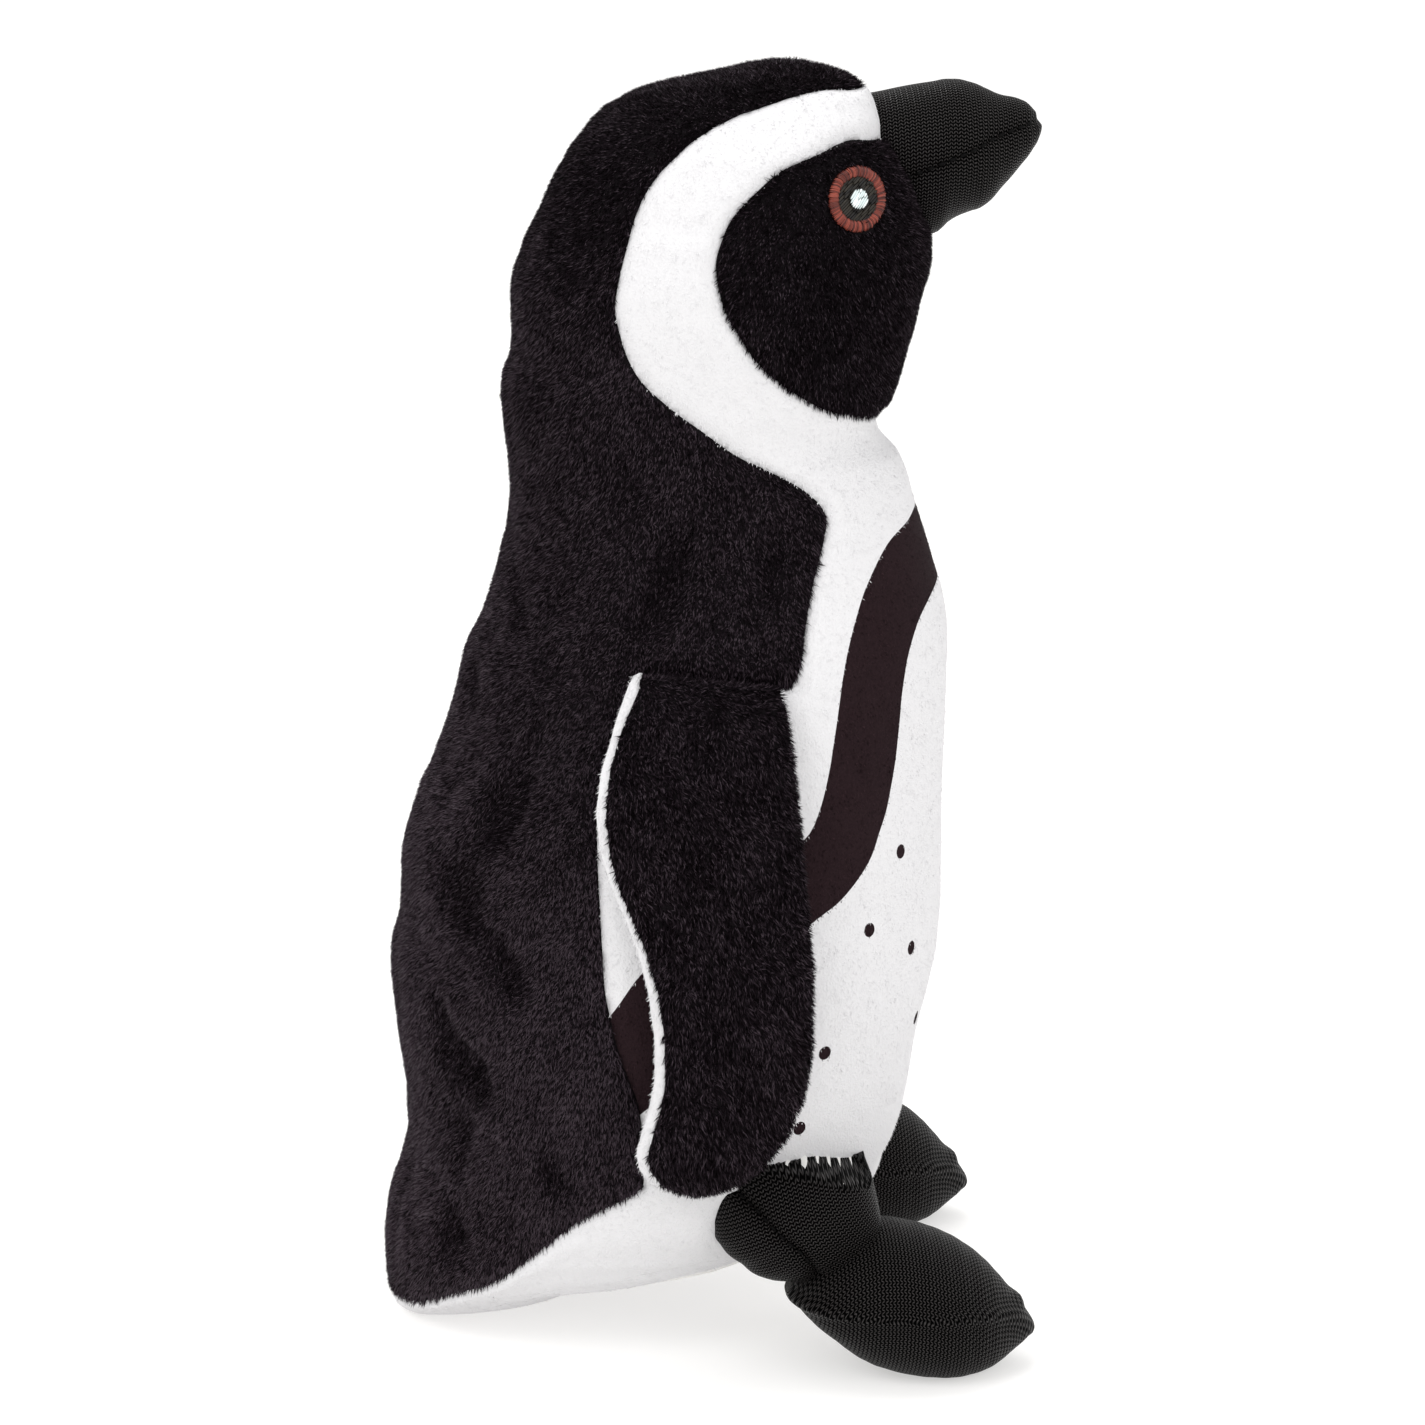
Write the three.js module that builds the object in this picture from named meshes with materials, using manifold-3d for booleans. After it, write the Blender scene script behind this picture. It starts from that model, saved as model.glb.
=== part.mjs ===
// A plush penguin that stands on its two feet and the tip of its tail.
// Frame: millimetres, +Z up. The penguin faces -Y and its right side is -X.
// The origin is on the floor, in the middle of the footprint.
//
// Each fabric panel is its own solid over loose stuffing. Panels meet at seams, and
// every seam, and every layer on another, keeps the same small clearance.

import * as THREE from 'three';
import { mergeVertices } from 'three/addons/utils/BufferGeometryUtils.js';
import Module from 'manifold-3d';

const wasm = await Module();
wasm.setup();

// ---------------------------------------------------------------- driving dimensions
const height = 250; // floor to crown
const bodyDepth = 111; // belly to back
const bodyWidth = 104; // across the belly
const pileFabric = 2.2; // minky with its pile
const flipperFabric = 1.1; // each face of the flipper, its pile pressed flat
const meshFabric = 1.2; // warp-knit mesh of beak, legs and feet
const clearance = 0.3; // between neighbouring pieces

const neckCut = 70.5; // percent of height where head and body stuffing meet

const beakLength = 33;
const beakHeight = 27;
const beakWidth = 27;
const beakBelowCrown = 20; // middle of the beak base under the crown

const eyeDiameter = 12.6;
const ringWidth = 1.9;
const highlightDiameter = 3.9;
const threadThickness = 0.9;
const eyeSpot = [-22.6, 90.4]; // percent of depth and of height

const flipperLength = 99;
const flipperWidth = 39;
const flipperThickness = 6.4;
const flipperTop = 55; // percent of height of the shoulder seam
const flipperMiddle = 5.2; // percent of depth, middle of the flipper
const flipperFlare = 2.5; // the free tip stands away from the body by this much more

const footInset = 14; // the feet's middles are closer together than the body is wide by this much
const footLength = 46;
const footWidth = 34;
const footHeight = 27;
const ankleForward = 19.7; // ankle ahead of the frame's middle before centring
const ankleBelowInstep = 3.2; // ankle under the top of the foot
const ankleTurn = 15; // degrees that a foot turns each way
const legLean = 31.6; // degrees that the shin leans forward from upright
const legLength = 27; // ankle to the hidden end inside the body outline
const legGirth = 32; // front to back at the thigh
const legWidth = 28; // side to side at the thigh
const thighInset = 18; // the same for the middles of the thighs

// ---------------------------------------------------------------- places that follow from them
const beakBaseHeight = height - beakBelowCrown;
const footSpacing = bodyWidth - footInset;
const legSpacing = bodyWidth - thighInset;
const ankleHeight = footHeight - ankleBelowInstep;

// ---------------------------------------------------------------- materials
const cloth = (color) => new THREE.MeshStandardMaterial({ color, roughness: 1, metalness: 0 });
const blackMinky = cloth(0x17141a);
const whiteMinky = cloth(0xf1eff2);
const knitMesh = cloth(0x141312);
const rustThread = cloth(0xa4493c);
const darkThread = cloth(0x2a231d);
const whiteThread = cloth(0xf6f4f2);
const fibrefill = cloth(0xe9e7e2);

// ---------------------------------------------------------------- shape helpers

// A smooth function through [position, value] points.
function through(points) {
  const slope = points.map((point, i) => {
    const before = points[Math.max(i - 1, 0)];
    const after = points[Math.min(i + 1, points.length - 1)];
    return (after[1] - before[1]) / (after[0] - before[0]);
  });
  return (position) => {
    let i = 0;
    while (i < points.length - 2 && position > points[i + 1][0]) i += 1;
    const [x0, y0] = points[i];
    const [x1, y1] = points[i + 1];
    const span = x1 - x0;
    const t = THREE.MathUtils.clamp((position - x0) / span, 0, 1);
    const leaving = y0 + slope[i] * span * t;
    const arriving = y1 - slope[i + 1] * span * (1 - t);
    return THREE.MathUtils.lerp(leaving, arriving, t * t * (3 - 2 * t));
  };
}

// A closed mesh through rings of points that all have the same count, a multiple of 4.
// Its faces are split so that the right half mirrors the left.
function skin(rings) {
  const count = rings[0].length;
  const positions = rings.flat().flatMap((p) => [p.x, p.y, p.z]);
  const index = [];
  for (let row = 0; row < rings.length - 1; row += 1) {
    for (let i = 0; i < count; i += 1) {
      const a = row * count + i;
      const b = row * count + ((i + 1) % count);
      const onRight = Math.cos((2 * Math.PI * (i + 0.5)) / count) < 0;
      if (onRight) index.push(a, b, a + count, b, b + count, a + count);
      else index.push(a, b, b + count, a, b + count, a + count);
    }
  }
  [0, rings.length - 1].forEach((row, end) => {
    const middle = new THREE.Vector3();
    rings[row].forEach((p) => middle.add(p));
    middle.divideScalar(count);
    const hub = positions.length / 3;
    positions.push(middle.x, middle.y, middle.z);
    for (let i = 0; i < count; i += 1) {
      const a = row * count + i;
      const b = row * count + ((i + 1) % count);
      if (end === 0) index.push(hub, b, a);
      else index.push(hub, a, b);
    }
  });
  const geometry = new THREE.BufferGeometry();
  geometry.setAttribute('position', new THREE.Float32BufferAttribute(positions, 3));
  geometry.setIndex(index);
  return geometry;
}

// A superellipse ring in a plane: middle, two half axes and how square it is.
function ring(middle, across, along, squareness, count) {
  return Array.from({ length: count }, (_, i) => {
    const turn = (2 * Math.PI * i) / count;
    const c = Math.cos(turn);
    const s = Math.sin(turn);
    const u = Math.sign(c) * Math.abs(c) ** (2 / squareness);
    const v = Math.sign(s) * Math.abs(s) ** (2 / squareness);
    return middle.clone().addScaledVector(across, u).addScaledVector(along, v);
  });
}

// The same mesh with every vertex moved out along its normal (in, if negative).
function grown(geometry, distance) {
  const moved = geometry.clone();
  moved.computeVertexNormals();
  const position = moved.getAttribute('position');
  const normal = moved.getAttribute('normal');
  for (let i = 0; i < position.count; i += 1) {
    position.setXYZ(
      i,
      position.getX(i) + distance * normal.getX(i),
      position.getY(i) + distance * normal.getY(i),
      position.getZ(i) + distance * normal.getZ(i),
    );
  }
  moved.deleteAttribute('normal');
  return moved;
}

function solid(geometry) {
  const bare = geometry.clone();
  bare.deleteAttribute('normal');
  bare.deleteAttribute('uv');
  const merged = mergeVertices(bare, 1e-4);
  return new wasm.Manifold(
    new wasm.Mesh({
      numProp: 3,
      vertProperties: new Float32Array(merged.getAttribute('position').array),
      triVerts: new Uint32Array(merged.getIndex().array),
    }),
  );
}

function geometryOf(body) {
  const mesh = body.getMesh();
  const geometry = new THREE.BufferGeometry();
  geometry.setAttribute('position', new THREE.Float32BufferAttribute(mesh.vertProperties, 3));
  geometry.setIndex([...mesh.triVerts]);
  return geometry;
}

// A side-view outline of [y, z] points, made solid from x = from to x = to.
const wide = bodyWidth * 2;
function prism(outline, from = -wide, to = wide) {
  const shape = new THREE.Shape(outline.map(([y, z]) => new THREE.Vector2(y, z)));
  const slab = new THREE.ExtrudeGeometry(shape, { depth: to - from, bevelEnabled: false });
  const turned = new THREE.Matrix4().set(0, 0, 1, from, 1, 0, 0, 0, 0, 1, 0, 0, 0, 0, 0, 1);
  return solid(slab.applyMatrix4(turned));
}

// The thin slit that a seam leaves, along a side-view line of [y, z] points.
function slit(line, from, to) {
  const points = line.map(([y, z]) => new THREE.Vector2(y, z));
  const sides = points.map((point, i) => {
    const before = points[Math.max(i - 1, 0)];
    const after = points[Math.min(i + 1, points.length - 1)];
    const run = after.clone().sub(before).normalize();
    const half = clearance / 2;
    return [
      [point.x - run.y * half, point.y + run.x * half],
      [point.x + run.y * half, point.y - run.x * half],
    ];
  });
  const forth = sides.map((pair) => pair[0]);
  const back = sides.map((pair) => pair[1]).reverse();
  return prism([...forth, ...back], from, to);
}

// A smooth side-view line through [percent of depth, percent of height] points.
function patternLine(points, steps) {
  const spots = points.map(([y, z]) => new THREE.Vector2((y * bodyDepth) / 100, (z * height) / 100));
  return new THREE.SplineCurve(spots).getPoints(steps).map((p) => [p.x, p.y]);
}

// A piece of the right side, copied to the left.
function mirrored(geometry) {
  const copy = geometry.clone().scale(-1, 1, 1);
  const index = copy.getIndex();
  for (let i = 0; i < index.count; i += 3) {
    const first = index.getX(i);
    index.setX(i, index.getX(i + 2));
    index.setX(i + 2, first);
  }
  return copy;
}

const assembly = new THREE.Group();
function add(name, body, material) {
  const mesh = new THREE.Mesh(geometryOf(body), material);
  mesh.name = name;
  assembly.add(mesh);
}
function addPair(name, body, material) {
  const right = geometryOf(body);
  [['right', right], ['left', mirrored(right)]].forEach(([side, geometry]) => {
    const mesh = new THREE.Mesh(geometry, material);
    mesh.name = `${name}_${side}`;
    assembly.add(mesh);
  });
}

// ---------------------------------------------------------------- body outline
// Percent of height against percent of depth (back, front) or of half width.
const backLine = through([
  [0, 55.5], [3, 59.6], [7, 59.3], [12.5, 56], [18, 55.2], [27, 57.9], [34, 56], [40, 54.5],
  [45, 50], [50, 46], [55, 42], [60, 38], [66, 36], [72, 36.9], [77, 35.5], [82, 34.7],
  [88, 31], [92.4, 27], [95, 22.6], [96.8, 17], [98, 10], [99.2, -1], [100, -7],
]);
const frontLine = through([
  [0, 40.5], [0.6, 30.6], [1.4, 24.3], [2.4, 14.4], [3.2, 4.5], [4.2, -5.4], [6, -16.2],
  [8, -23.4], [12.4, -30.6], [18, -35.3], [25, -38.3], [30, -40.2], [40, -40.9], [50, -41.4],
  [55, -41.6], [60, -40.2], [65, -36], [69, -31.6], [71.5, -29.6], [75, -32.5], [81, -36],
  [85.5, -37.8], [88.5, -35.5], [92, -31.5], [95, -28.5], [97.5, -26.5], [98.6, -24], [99.5, -18],
  [100, -13],
]);
const widthLine = through([
  [0, 23], [0.6, 34], [1.4, 43], [2.4, 54], [4.2, 69], [6, 78], [8, 84], [12.4, 91], [18, 96.5],
  [24, 99], [30, 100], [36, 98.5], [42, 94.5], [48, 89], [55, 81], [62.5, 71], [66, 67.5],
  [70.8, 65.4], [74, 66.5], [78, 69.5], [82, 71.2], [86, 70.2], [88.5, 67.3], [92.4, 60],
  [94.5, 53], [96.8, 42], [98, 33], [99.2, 20], [100, 8],
]);
const bodyLevels = [
  0, 1.2, 3, 5.5, 9, 14, 22, 31, 40, 49, 57, 65, 71.5, 79, 86, 91, 95, 98.2, 100,
];
const bodySquareness = 2.2;
const bodyFacets = 20;

function bodyRing(level, count = bodyFacets) {
  const back = (backLine(level) * bodyDepth) / 100;
  const front = (frontLine(level) * bodyDepth) / 100;
  const halfWidth = (widthLine(level) * bodyWidth) / 200;
  const middle = new THREE.Vector3(0, (back + front) / 2, (level * height) / 100);
  const across = new THREE.Vector3(halfWidth, 0, 0);
  const along = new THREE.Vector3(0, (back - front) / 2, 0);
  return ring(middle, across, along, bodySquareness, count);
}
const bodySkin = skin(bodyLevels.map((level) => bodyRing(level)));
const bodyOutside = solid(bodySkin);
const aroundBody = solid(grown(bodySkin, clearance));
const underFabric = solid(grown(bodySkin, -pileFabric));
const bodyFabric = bodyOutside.subtract(underFabric);

// ---------------------------------------------------------------- seams of the body panels
const hoodEdge = patternLine([
  [-40, 98.4], [-26, 97.7], [-17.5, 97.6], [-8, 96.8], [1.5, 95.3], [9.5, 92.9], [14.7, 90.2],
  [17.8, 86.6], [19.6, 83], [17.8, 78.9], [10, 74.9], [-1.3, 71.2], [-7.8, 69.9], [-13.6, 68.3],
  [-16.8, 66.2], [-16.4, 64], [-13.2, 58.8], [-10.6, 54],
], 26);
const shoulderSeam = patternLine([[-10.6, 54], [2, 54.4], [15.9, 55.2]], 3);
const flankEdge = patternLine([
  [15.9, 55.2], [21.6, 48.8], [23.8, 43], [23.4, 37.9], [22, 29.4], [17.6, 23], [16, 15.3],
], 8);
const hemEdge = patternLine([
  [16, 15.3], [24, 13.2], [32.2, 10.3], [41.1, 6.5], [52, 3], [59.5, 1.4], [66, 1],
], 8);
const backSeam = [...hoodEdge, ...shoulderSeam.slice(1), ...flankEdge.slice(1), ...hemEdge.slice(1)];

const maskEdge = patternLine([
  [-40, 92.6], [-28.8, 94.2], [-22.2, 94.5], [-16.3, 94.1], [-9.8, 93], [-4.7, 91.4], [-0.2, 89.3],
  [2.2, 86.9], [2.4, 84.8], [1.1, 82.4], [-4.4, 78.6], [-12.5, 75.4], [-21.3, 73.5], [-28, 72.7],
  [-40, 72.2],
], 18);
const underEdge = patternLine([[66, 1], [46, 2.4], [20, 6.4], [-8, 8.6], [-28, 10], [-50, 10.5]], 7);

const above = (height * 3) / 2;
const behind = bodyDepth;
const below = -height / 2;
const backOutline = [...backSeam, [behind, hemEdge.at(-1)[1]], [behind, above], [-behind, above],
  [-behind, hoodEdge[0][1]]];
const maskOutline = [...maskEdge, [-behind, maskEdge.at(-1)[1]], [-behind, maskEdge[0][1]]];
const underOutline = [...underEdge, [-behind, underEdge.at(-1)[1]], [-behind, below],
  [behind, below], [behind, underEdge[0][1]]];

const backRegion = prism(backOutline);
const maskRegion = prism(maskOutline);
const underRegion = prism(underOutline);
const seamSlits = [backSeam, maskEdge, underEdge].map((line) => slit(line, -wide, wide));
const rightSide = prism([[-behind, below], [behind, below], [behind, above], [-behind, above]],
  -wide, -clearance / 2);

// ---------------------------------------------------------------- beak
// Rings from the base to the tip: percent of length, middle, half height and half width,
// the last three in percent of beak height and of half width.
const beakRings = [
  [-45, -6, 52, 100], [0, -4, 52, 100], [25, 3, 52, 91], [52, 12, 45, 73], [76, 20.5, 29, 52],
  [91, 24, 18, 35], [98, 23, 10, 20],
];
const beakFacets = 12;
const beakBase = (frontLine(89.5) * bodyDepth) / 100 + 4; // 4 inside the face
const beakSeam = [[-50, -30], [5, -14], [30, 0], [55, 13], [75, 22], [100, 30], [130, 36]].map(
  ([out, up]) => [beakBase - (out * beakLength) / 100, beakBaseHeight + (up * beakHeight) / 100]);

const beakSkin = skin(beakRings.map(([out, up, half, wideness]) => ring(
  new THREE.Vector3(0, beakBase - (out * beakLength) / 100, beakBaseHeight + (up * beakHeight) / 100),
  new THREE.Vector3((wideness * beakWidth) / 200, 0, 0),
  new THREE.Vector3(0, 0, (half * beakHeight) / 100),
  2, beakFacets)));
const beakOutside = solid(beakSkin).subtract(aroundBody);
const beakInside = solid(grown(beakSkin, -meshFabric));
const beakFilling = solid(grown(beakSkin, -meshFabric - clearance)).subtract(
  solid(grown(bodySkin, 2 * clearance)));
const beakFabric = beakOutside.subtract(beakInside).subtract(slit(beakSeam, -wide, wide));
const aboveBeakSeam = prism([...beakSeam, [beakSeam.at(-1)[0], above], [beakSeam[0][0], above]]);
add('beak_upper', beakFabric.intersect(aboveBeakSeam), knitMesh);
add('beak_lower', beakFabric.subtract(aboveBeakSeam), knitMesh);
add('beak_stuffing', beakFilling, fibrefill);

// ---------------------------------------------------------------- body panels and stuffing
const opened = seamSlits.reduce((body, cut) => body.subtract(cut), bodyFabric);
const right = opened.intersect(rightSide);
addPair('back_panel', right.intersect(backRegion), blackMinky);
addPair('face_mask', right.intersect(maskRegion).subtract(backRegion), blackMinky);
addPair('front_panel', right.subtract(backRegion).subtract(maskRegion).subtract(underRegion),
  whiteMinky);
add('underside_panel', opened.intersect(underRegion).subtract(backRegion), whiteMinky);

const filling = solid(grown(bodySkin, -pileFabric - clearance));
const neckHeight = (neckCut * height) / 100;
const headSpace = prism([[-behind, neckHeight + clearance / 2], [behind, neckHeight + clearance / 2],
  [behind, above], [-behind, above]]);
const bodySpace = prism([[-behind, below], [behind, below], [behind, neckHeight - clearance / 2],
  [-behind, neckHeight - clearance / 2]]);
add('head_stuffing', filling.intersect(headSpace), fibrefill);
add('body_stuffing', filling.intersect(bodySpace), fibrefill);

// ---------------------------------------------------------------- embroidered eyes
// Where a line along X at (y, z) meets the right side of the body, and the normal there.
function sideOfBody(y, z) {
  const level = (z * 100) / height;
  const back = (backLine(level) * bodyDepth) / 100;
  const front = (frontLine(level) * bodyDepth) / 100;
  const out = Math.abs((2 * y - back - front) / (back - front));
  const halfWidth = (widthLine(level) * bodyWidth) / 200;
  return -halfWidth * Math.max(1 - out ** bodySquareness, 0) ** (1 / bodySquareness);
}
const eyeY = (eyeSpot[0] * bodyDepth) / 100;
const eyeZ = (eyeSpot[1] * height) / 100;
const step = eyeDiameter / 2;
const slopeY = (sideOfBody(eyeY + step, eyeZ) - sideOfBody(eyeY - step, eyeZ)) / (2 * step);
const slopeZ = (sideOfBody(eyeY, eyeZ + step) - sideOfBody(eyeY, eyeZ - step)) / (2 * step);
const eyeNormal = new THREE.Vector3(-1, slopeY, slopeZ).normalize();
const eyeMiddle = new THREE.Vector3(sideOfBody(eyeY, eyeZ), eyeY, eyeZ);
const eyeFacets = 12;

function eyeRod(diameter) {
  const rod = new THREE.CylinderGeometry(diameter / 2, diameter / 2, bodyWidth / 4, eyeFacets);
  rod.applyQuaternion(new THREE.Quaternion().setFromUnitVectors(new THREE.Vector3(0, 1, 0), eyeNormal));
  rod.translate(eyeMiddle.x, eyeMiddle.y, eyeMiddle.z);
  return solid(rod);
}
const threadLayer = solid(grown(bodySkin, clearance + threadThickness)).subtract(aroundBody);
const pupilDiameter = eyeDiameter - 2 * ringWidth;
addPair('eye_ring', threadLayer.intersect(eyeRod(eyeDiameter)).subtract(eyeRod(pupilDiameter)),
  rustThread);
addPair('eye_pupil', threadLayer.intersect(eyeRod(pupilDiameter - 2 * clearance)).subtract(
  eyeRod(highlightDiameter)), darkThread);
addPair('eye_highlight', threadLayer.intersect(eyeRod(highlightDiameter - 2 * clearance)),
  whiteThread);

// ---------------------------------------------------------------- flippers
// From the shoulder seam down: percent of length, front and rear edge in percent of width,
// thickness in percent.
const flipperRings = [
  [1, -38, 31, 70], [12, -41, 45, 88], [26, -45, 50, 100], [44, -48.5, 37, 100],
  [62, -50, 24, 95], [78, -47, 24, 90], [90, -34, 30, 80], [98, -8, 20, 65],
];
const flipperFacets = 12;
const shoulderHeight = (flipperTop * height) / 100;
const flipperY = (flipperMiddle * bodyDepth) / 100;

function flipperPlace([down, , , thick]) {
  const z = shoulderHeight - (down * flipperLength) / 100;
  const beside = (widthLine((z * 100) / height) * bodyWidth) / 200;
  const flare = flipperFlare * Math.max((down - 50) / 50, 0);
  return [-(beside + 2 * clearance + (thick * flipperThickness) / 200 + flare), z];
}
// The flipper's surface, or one that lies inside it by the inset on every side.
function flipperSkin(inset) {
  const last = flipperRings.length - 1;
  return skin(flipperRings.map((row, i) => {
    const [, front, rear, thick] = row;
    const [x, z] = flipperPlace(row);
    const trim = i === 0 ? -inset : 0;
    const lift = i === last ? inset : 0;
    return ring(
      new THREE.Vector3(x, flipperY + ((front + rear) / 200) * flipperWidth, z + trim + lift),
      new THREE.Vector3((thick * flipperThickness) / 200 - inset, 0, 0),
      new THREE.Vector3(0, ((rear - front) / 200) * flipperWidth - inset, 0),
      2, flipperFacets);
  }).reverse());
}
const flipperMidline = flipperRings.map(flipperPlace);
const flipperShell = solid(flipperSkin(0)).subtract(solid(flipperSkin(flipperFabric)));
const besideFlipper = [
  ...flipperMidline.map(([x, z]) => [x + clearance / 2, z]), [flipperMidline.at(-1)[0], below],
  [wide, below], [wide, above], [flipperMidline[0][0], above],
];
const outsideFlipper = [
  ...flipperMidline.map(([x, z]) => [x - clearance / 2, z]), [flipperMidline.at(-1)[0], below],
  [-wide, below], [-wide, above], [flipperMidline[0][0], above],
];
function frontPrism(outline) {
  const shape = new THREE.Shape(outline.map(([x, z]) => new THREE.Vector2(x, z)));
  const slab = new THREE.ExtrudeGeometry(shape, { depth: 2 * behind, bevelEnabled: false });
  return solid(slab.rotateX(Math.PI / 2).translate(0, behind, 0));
}
addPair('flipper_outer', flipperShell.intersect(frontPrism(outsideFlipper)), blackMinky);
addPair('flipper_inner', flipperShell.intersect(frontPrism(besideFlipper)), whiteMinky);
addPair('flipper_stuffing', solid(flipperSkin(flipperFabric + clearance)), fibrefill);

// ---------------------------------------------------------------- legs and feet
const ankle = new THREE.Vector3(-footSpacing / 2, -ankleForward, ankleHeight);
const lean = THREE.MathUtils.degToRad(legLean);
const shin = new THREE.Vector3(0, Math.sin(lean), Math.cos(lean)); // ankle to thigh
const crease = new THREE.Vector3(0, Math.cos(lean), -Math.sin(lean)); // instep to heel

// The gap between shin and foot, open in front and behind so the foot can turn.
function ankleGap() {
  const reach = footLength;
  const half = THREE.MathUtils.degToRad(ankleTurn / 2 + 1);
  const ray = (turn) => {
    const out = crease.clone().multiplyScalar(Math.cos(turn)).addScaledVector(shin, Math.sin(turn));
    return [ankle.y + reach * out.y, ankle.z + reach * out.z];
  };
  const hub = clearance;
  const near = (side) => [ankle.y + side * hub * shin.y, ankle.z + side * hub * shin.z];
  return prism([ray(-half), ray(half), near(1), ray(Math.PI - half), ray(Math.PI + half), near(-1)]);
}

// Ankle to thigh: percent of length, shift to the rear and half girth in percent of girth,
// half width in percent of width.
const legRings = [
  [-20, 0, 27, 30], [0, 0, 32, 35], [14, 4, 41, 43], [32, 5.5, 45.5, 48], [50, 7.5, 46.5, 47],
  [64, 7.5, 44, 38], [85, 7, 37, 22],
];
const legFacets = 12;
const legSkin = skin(legRings.map(([up, rearward, halfGirth, halfWidth]) => {
  const inward = ((footSpacing - legSpacing) / 2) * THREE.MathUtils.clamp(up / 50, 0, 1);
  const middle = ankle.clone().addScaledVector(shin, (up * legLength) / 100)
    .addScaledVector(crease, (rearward * legGirth) / 100);
  middle.x += inward;
  return ring(middle, new THREE.Vector3((halfWidth * legWidth) / 100, 0, 0),
    crease.clone().multiplyScalar((halfGirth * legGirth) / 100), 2.1, legFacets);
}));
const aboveAnkle = prism([
  [ankle.y + wide * crease.y, ankle.z + wide * crease.z],
  [ankle.y + wide * (crease.y + shin.y), ankle.z + wide * (crease.z + shin.z)],
  [ankle.y - wide * (crease.y - shin.y), ankle.z - wide * (crease.z - shin.z)],
  [ankle.y - wide * crease.y, ankle.z - wide * crease.z],
]);
const legSpace = aboveAnkle.subtract(ankleGap()).subtract(aroundBody);
const legShell = solid(legSkin).subtract(solid(grown(legSkin, -meshFabric))).intersect(legSpace);
// The side seam of the leg, from the thigh down past the ankle: percent of girth to the
// rear and percent of length up.
const legSeam = [[52, 150], [31, 89], [21, 46], [15, 22], [15, 8], [22, -30]].map(
  ([rearward, up]) => [
    ankle.y + (crease.y * rearward * legGirth + shin.y * up * legLength) / 100,
    ankle.z + (crease.z * rearward * legGirth + shin.z * up * legLength) / 100,
  ]);
const legSlit = slit(legSeam, -wide, wide);
const behindLegSeam = prism([...legSeam,
  [legSeam.at(-1)[0] + wide * crease.y, legSeam.at(-1)[1] + wide * crease.z],
  [legSeam[0][0] + wide * crease.y, legSeam[0][1] + wide * crease.z]]);
addPair('leg_front', legShell.subtract(legSlit).subtract(behindLegSeam), knitMesh);
addPair('leg_rear', legShell.subtract(legSlit).intersect(behindLegSeam), knitMesh);
addPair('leg_stuffing', solid(grown(legSkin, -meshFabric - clearance)).intersect(legSpace), fibrefill);

// Heel to toe: percent of length, middle, half height and half width in percent of height
// and of width.
const footRings = [
  [0, 69.5, 8, 13], [7.6, 70.4, 22, 29], [18, 69.5, 36, 38], [34, 65, 50, 46], [51, 58.2, 52.3, 49.5],
  [65, 52, 49.5, 51], [81, 45.8, 38.8, 49], [91, 43.4, 26, 41], [100, 34, 7, 18],
];
const footFacets = 12;
const heel = ankleForward - 8.6; // the heel sits this far ahead of the frame's middle
const soleDepth = footHeight * 0.07; // the sole is pressed flat by this much
const footSkin = skin(footRings.map(([along, up, half, wideness]) => ring(
  new THREE.Vector3(
    ankle.x, -heel - (along * footLength) / 100, (up * footHeight) / 100 - soleDepth),
  new THREE.Vector3((wideness * footWidth) / 100, 0, 0),
  new THREE.Vector3(0, 0, (half * footHeight) / 100),
  2.1, footFacets)));
const over = (z) => prism([[-wide, z], [wide, z], [wide, above], [-wide, above]]);
const footSpace = over(0).subtract(aboveAnkle).subtract(ankleGap()).subtract(aroundBody);
const footShell = solid(footSkin).intersect(footSpace)
  .subtract(solid(grown(footSkin, -meshFabric)).intersect(over(meshFabric)));
const footSeam = [[-30, 67], [5, 63], [30, 60], [60, 56], [85, 51], [130, 46]].map(([along, up]) => [
  -heel - (along * footLength) / 100, (up * footHeight) / 100]);
const footSlit = slit(footSeam, -wide, wide);
const aboveFootSeam = prism([...footSeam, [footSeam.at(-1)[0], above], [footSeam[0][0], above]]);
addPair('foot_top', footShell.subtract(footSlit).intersect(aboveFootSeam), knitMesh);
addPair('foot_sole', footShell.subtract(footSlit).subtract(aboveFootSeam), knitMesh);
addPair('foot_stuffing', solid(grown(footSkin, -meshFabric - clearance)).intersect(footSpace)
  .intersect(over(meshFabric + clearance)), fibrefill);

// ---------------------------------------------------------------- origin
const extent = new THREE.Box3().setFromObject(assembly);
const centre = extent.getCenter(new THREE.Vector3());
assembly.position.set(-centre.x, -centre.y, -extent.min.z);

const penguin = new THREE.Group();
penguin.add(assembly);
export default penguin;
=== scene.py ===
"""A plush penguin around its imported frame: pile, embroidery, knit mesh and seams.

Lengths are millimetres until a mesh is made; +Z up, the penguin faces -Y, its right is -X.
Shapes follow side-view outlines in percent of the body's depth and of the height.
"""
import math

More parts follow.
